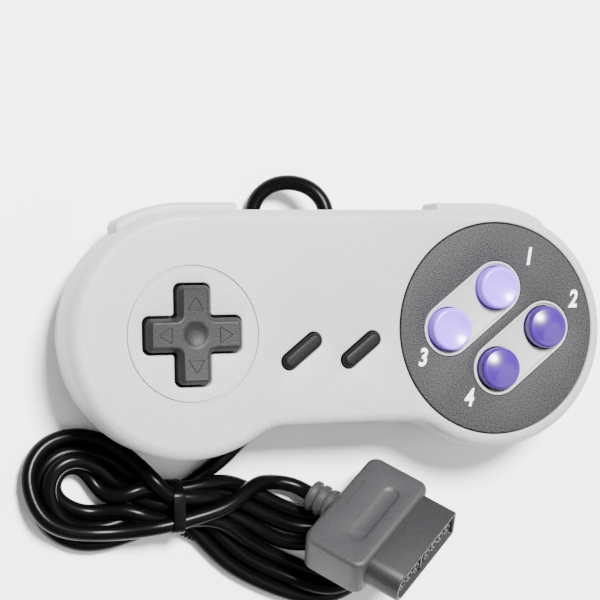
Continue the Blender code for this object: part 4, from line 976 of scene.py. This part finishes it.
# %% Cord gland
collar = [(CORD + 0.15, -5.4), (CORD + 0.15, -0.6), (CORD + 0.5, -0.1), (CORD + 0.9, 0.05),
          (2.95, 0.0), (3.2, -0.25), (3.2, -3.6), (4.1, -3.6), (4.1, -5.4)]
flat = rings(circle((0, 0), 0, 40), collar)
around_cord = np.stack([flat[..., 0] + EXIT_X, flat[..., 2] + LOBE_RADIUS, flat[..., 1] + PARTING], -1)
piece("cord gland", grid(np.concatenate([around_cord, around_cord[:1]])), cord_black,
      replaces=["cord_gland"])

# %% [markdown]
# ## Plug
# The plug is built lying along X and then turned into its place on the hank. Its body is a softly
# rounded block with a thumb rest and a fine line on top. The shroud is a keyed sleeve with one end
# well rounded; seven tubes stand inside, three and four on either side of a rib.
# %% Plug body
def placed(part):
    """A part in the plug's own directions, moved to where the plug lies."""
    points, faces = part
    return np.asarray(points) @ PLUG_TURN.T + PLUG_TAIL, faces


def box_outline(x0, x1, half_width, corner, steps=6):
    """A rectangle in plan with rounded corners, as a function of grow."""
    def outline(grow=0.0):
        a, b, w, c = x0 - grow, x1 + grow, half_width + grow, max(corner + grow, 0.1)
        spots = ((b - c, w - c, 0), (a + c, w - c, 90), (a + c, c - w, 180), (b - c, c - w, 270))
        return np.vstack([np.array([x, y]) + c * turn(s, s + 90, steps) for x, y, s in spots])
    return outline


SHROUD_PROUD, CONTACT_PITCH = 9.4, 3.3
SHROUD_W, SHROUD_H, FRONT = 14.3, 4.6, PLUG_LENGTH + SHROUD_PROUD  # half its width and height
half = PLUG_HEIGHT / 2
block = box_outline(0, PLUG_LENGTH, PLUG_WIDTH / 2, 3.0)
rest = pill((11.0, 0.0), 20.0, 4.4, math.pi / 2, 18)
score = pill((3.1, 3.0), 9.0, 0.5, math.pi / 2, 8)
rounded = bend((0, half - 1.3), (-1.3, half), 7)
side = [(b, -a) for b, a in rounded][::-1] + rounded
dip = [(0.25, half), (0.0, half - 0.08), (-0.25, half - 0.35), (-0.6, half - 0.5)]
cut = [(0.08, half), (0.0, half - 0.1), (-0.1, half - 0.25)]
body = join(grid(rings(block, side)), patch(block(-1.3), height=-half),
            patch(block(-1.3), [rest(0.25), score(0.08)], height=half), grid(rings(rest, dip)),
            patch(rest(-0.6), height=half - 0.5), grid(rings(score, cut)),
            patch(score(-0.1), height=half - 0.25))
plug_body = piece("plug body", placed(body), plug_grey, replaces=["plug_body"])

# %% Strain relief
# Grooves a rib apart: radius = full - 0.55 * a cosine cut off at 0 and 1, its free end rounded.
RIB_PITCH = 2.55
wave = np.linspace(-RELIEF_LENGTH, -0.1, 60)
ribs = RELIEF_RADIUS - 0.55 * np.clip(np.cos((wave + 7.0) / RIB_PITCH * 2 * math.pi) * -2.2 + 0.3, 0, 1)
ribs = np.minimum(ribs, RELIEF_RADIUS - 0.9 * np.clip(-7.5 - wave, 0, 1))
outer = [(CORD + 0.1, -5.0), (CORD + 0.1, -7.9), (3.0, -RELIEF_LENGTH)]
outer += list(zip(ribs[3:], wave[3:])) + [(3.4, 0.4)]
flat = rings(circle((0, 0), 0, 48), outer)
sleeve = np.stack([flat[..., 2], flat[..., 0], flat[..., 1]], -1)
relief_piece = piece("strain relief", placed(grid(sleeve)), plug_grey, replaces=["plug_strain_relief"])

# %% Shroud and tubes
def keyed(grow):
    """The shroud's section in (y, z): nearly square at one end and well rounded at the other."""
    w, h = SHROUD_W + grow, SHROUD_H + grow
    spots = ((w, h, 1.5, 0), (-w, h, 3.6, 90), (-w, -h, 3.6, 180), (w, -h, 1.5, 270))
    return np.vstack([np.array([y - math.copysign(c + grow, y), z - math.copysign(c + grow, z)])
                      + (c + grow) * turn(s, s + 90, 8) for y, z, c, s in spots])


def along_x(outline, profile):
    """The section at every (grow, x) of the profile."""
    return np.stack([np.c_[np.full(len(outline(g)), x), outline(g)] for g, x in profile])


TUBE_FOOT = FRONT - 6.0                          # the floor inside the sleeve
mouth = [(0, 12.0), (0, FRONT - 0.3), (-0.15, FRONT - 0.08), (-0.35, FRONT), (-0.8, FRONT),
         (-1.0, FRONT - 0.12), (-1.1, FRONT - 0.35), (-1.1, TUBE_FOOT)]
table = along_x(keyed, mouth)
parts = [grid(table), lid(table[-1])]
slots = np.array([0, 1, 2, 3.6, 4.6, 5.6, 6.6])
places = (slots - slots[-1] / 2) * CONTACT_PITCH
tube_wall = [(1.55, TUBE_FOOT), (1.55, FRONT - 0.7), (1.45, FRONT - 0.55), (1.15, FRONT - 0.55),
             (1.0, FRONT - 0.75), (1.0, TUBE_FOOT + 0.1)]
parts += [grid(along_x(circle((y, 0), 0, 28), tube_wall)) for y in places]
rib_y = (places[2] + places[3]) / 2
rib = box_outline(rib_y - 0.35, rib_y + 0.35, 3.6, 0.1, 2)
table = along_x(rib, [(0, TUBE_FOOT), (0, FRONT - 0.6)])
parts += [grid(table), lid(table[-1])]
shroud = piece("plug shroud", placed(join(*parts)), shroud_grey, replaces=["plug_shroud"])

# %% [markdown]
# ## Finishes for the inner parts
# The boards, membranes, pins, screws and contacts keep their CAD shapes. Little of them shows,
# so they only need the right material.
# %% Inner parts
INNER = {"membrane": rubber, "dome": rubber, "board": board_green, "chip": shroud_grey,
         "capacitor": steel, "header": nylon, "wires": wire_red, "pivot": nylon, "pin": steel,
         "screw": steel, "contact": brass}
kept = []
for name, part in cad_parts.items():
    finish = next((made for word, made in INNER.items() if word in name), None)
    if finish and not part.hide_render:
        part.data.materials.clear()
        part.data.materials.append(finish)
        kept.append(name)
print("inner parts kept", len(kept))

# %% [markdown]
# The finished model's box is printed, as the CAD model's was at the start: only the cord stands a
# little past it.
# %% Finish
sizes["visual"] = corners()
print("visual box in mm", np.round(np.array(sizes["visual"]) * 1000, 1).tolist())
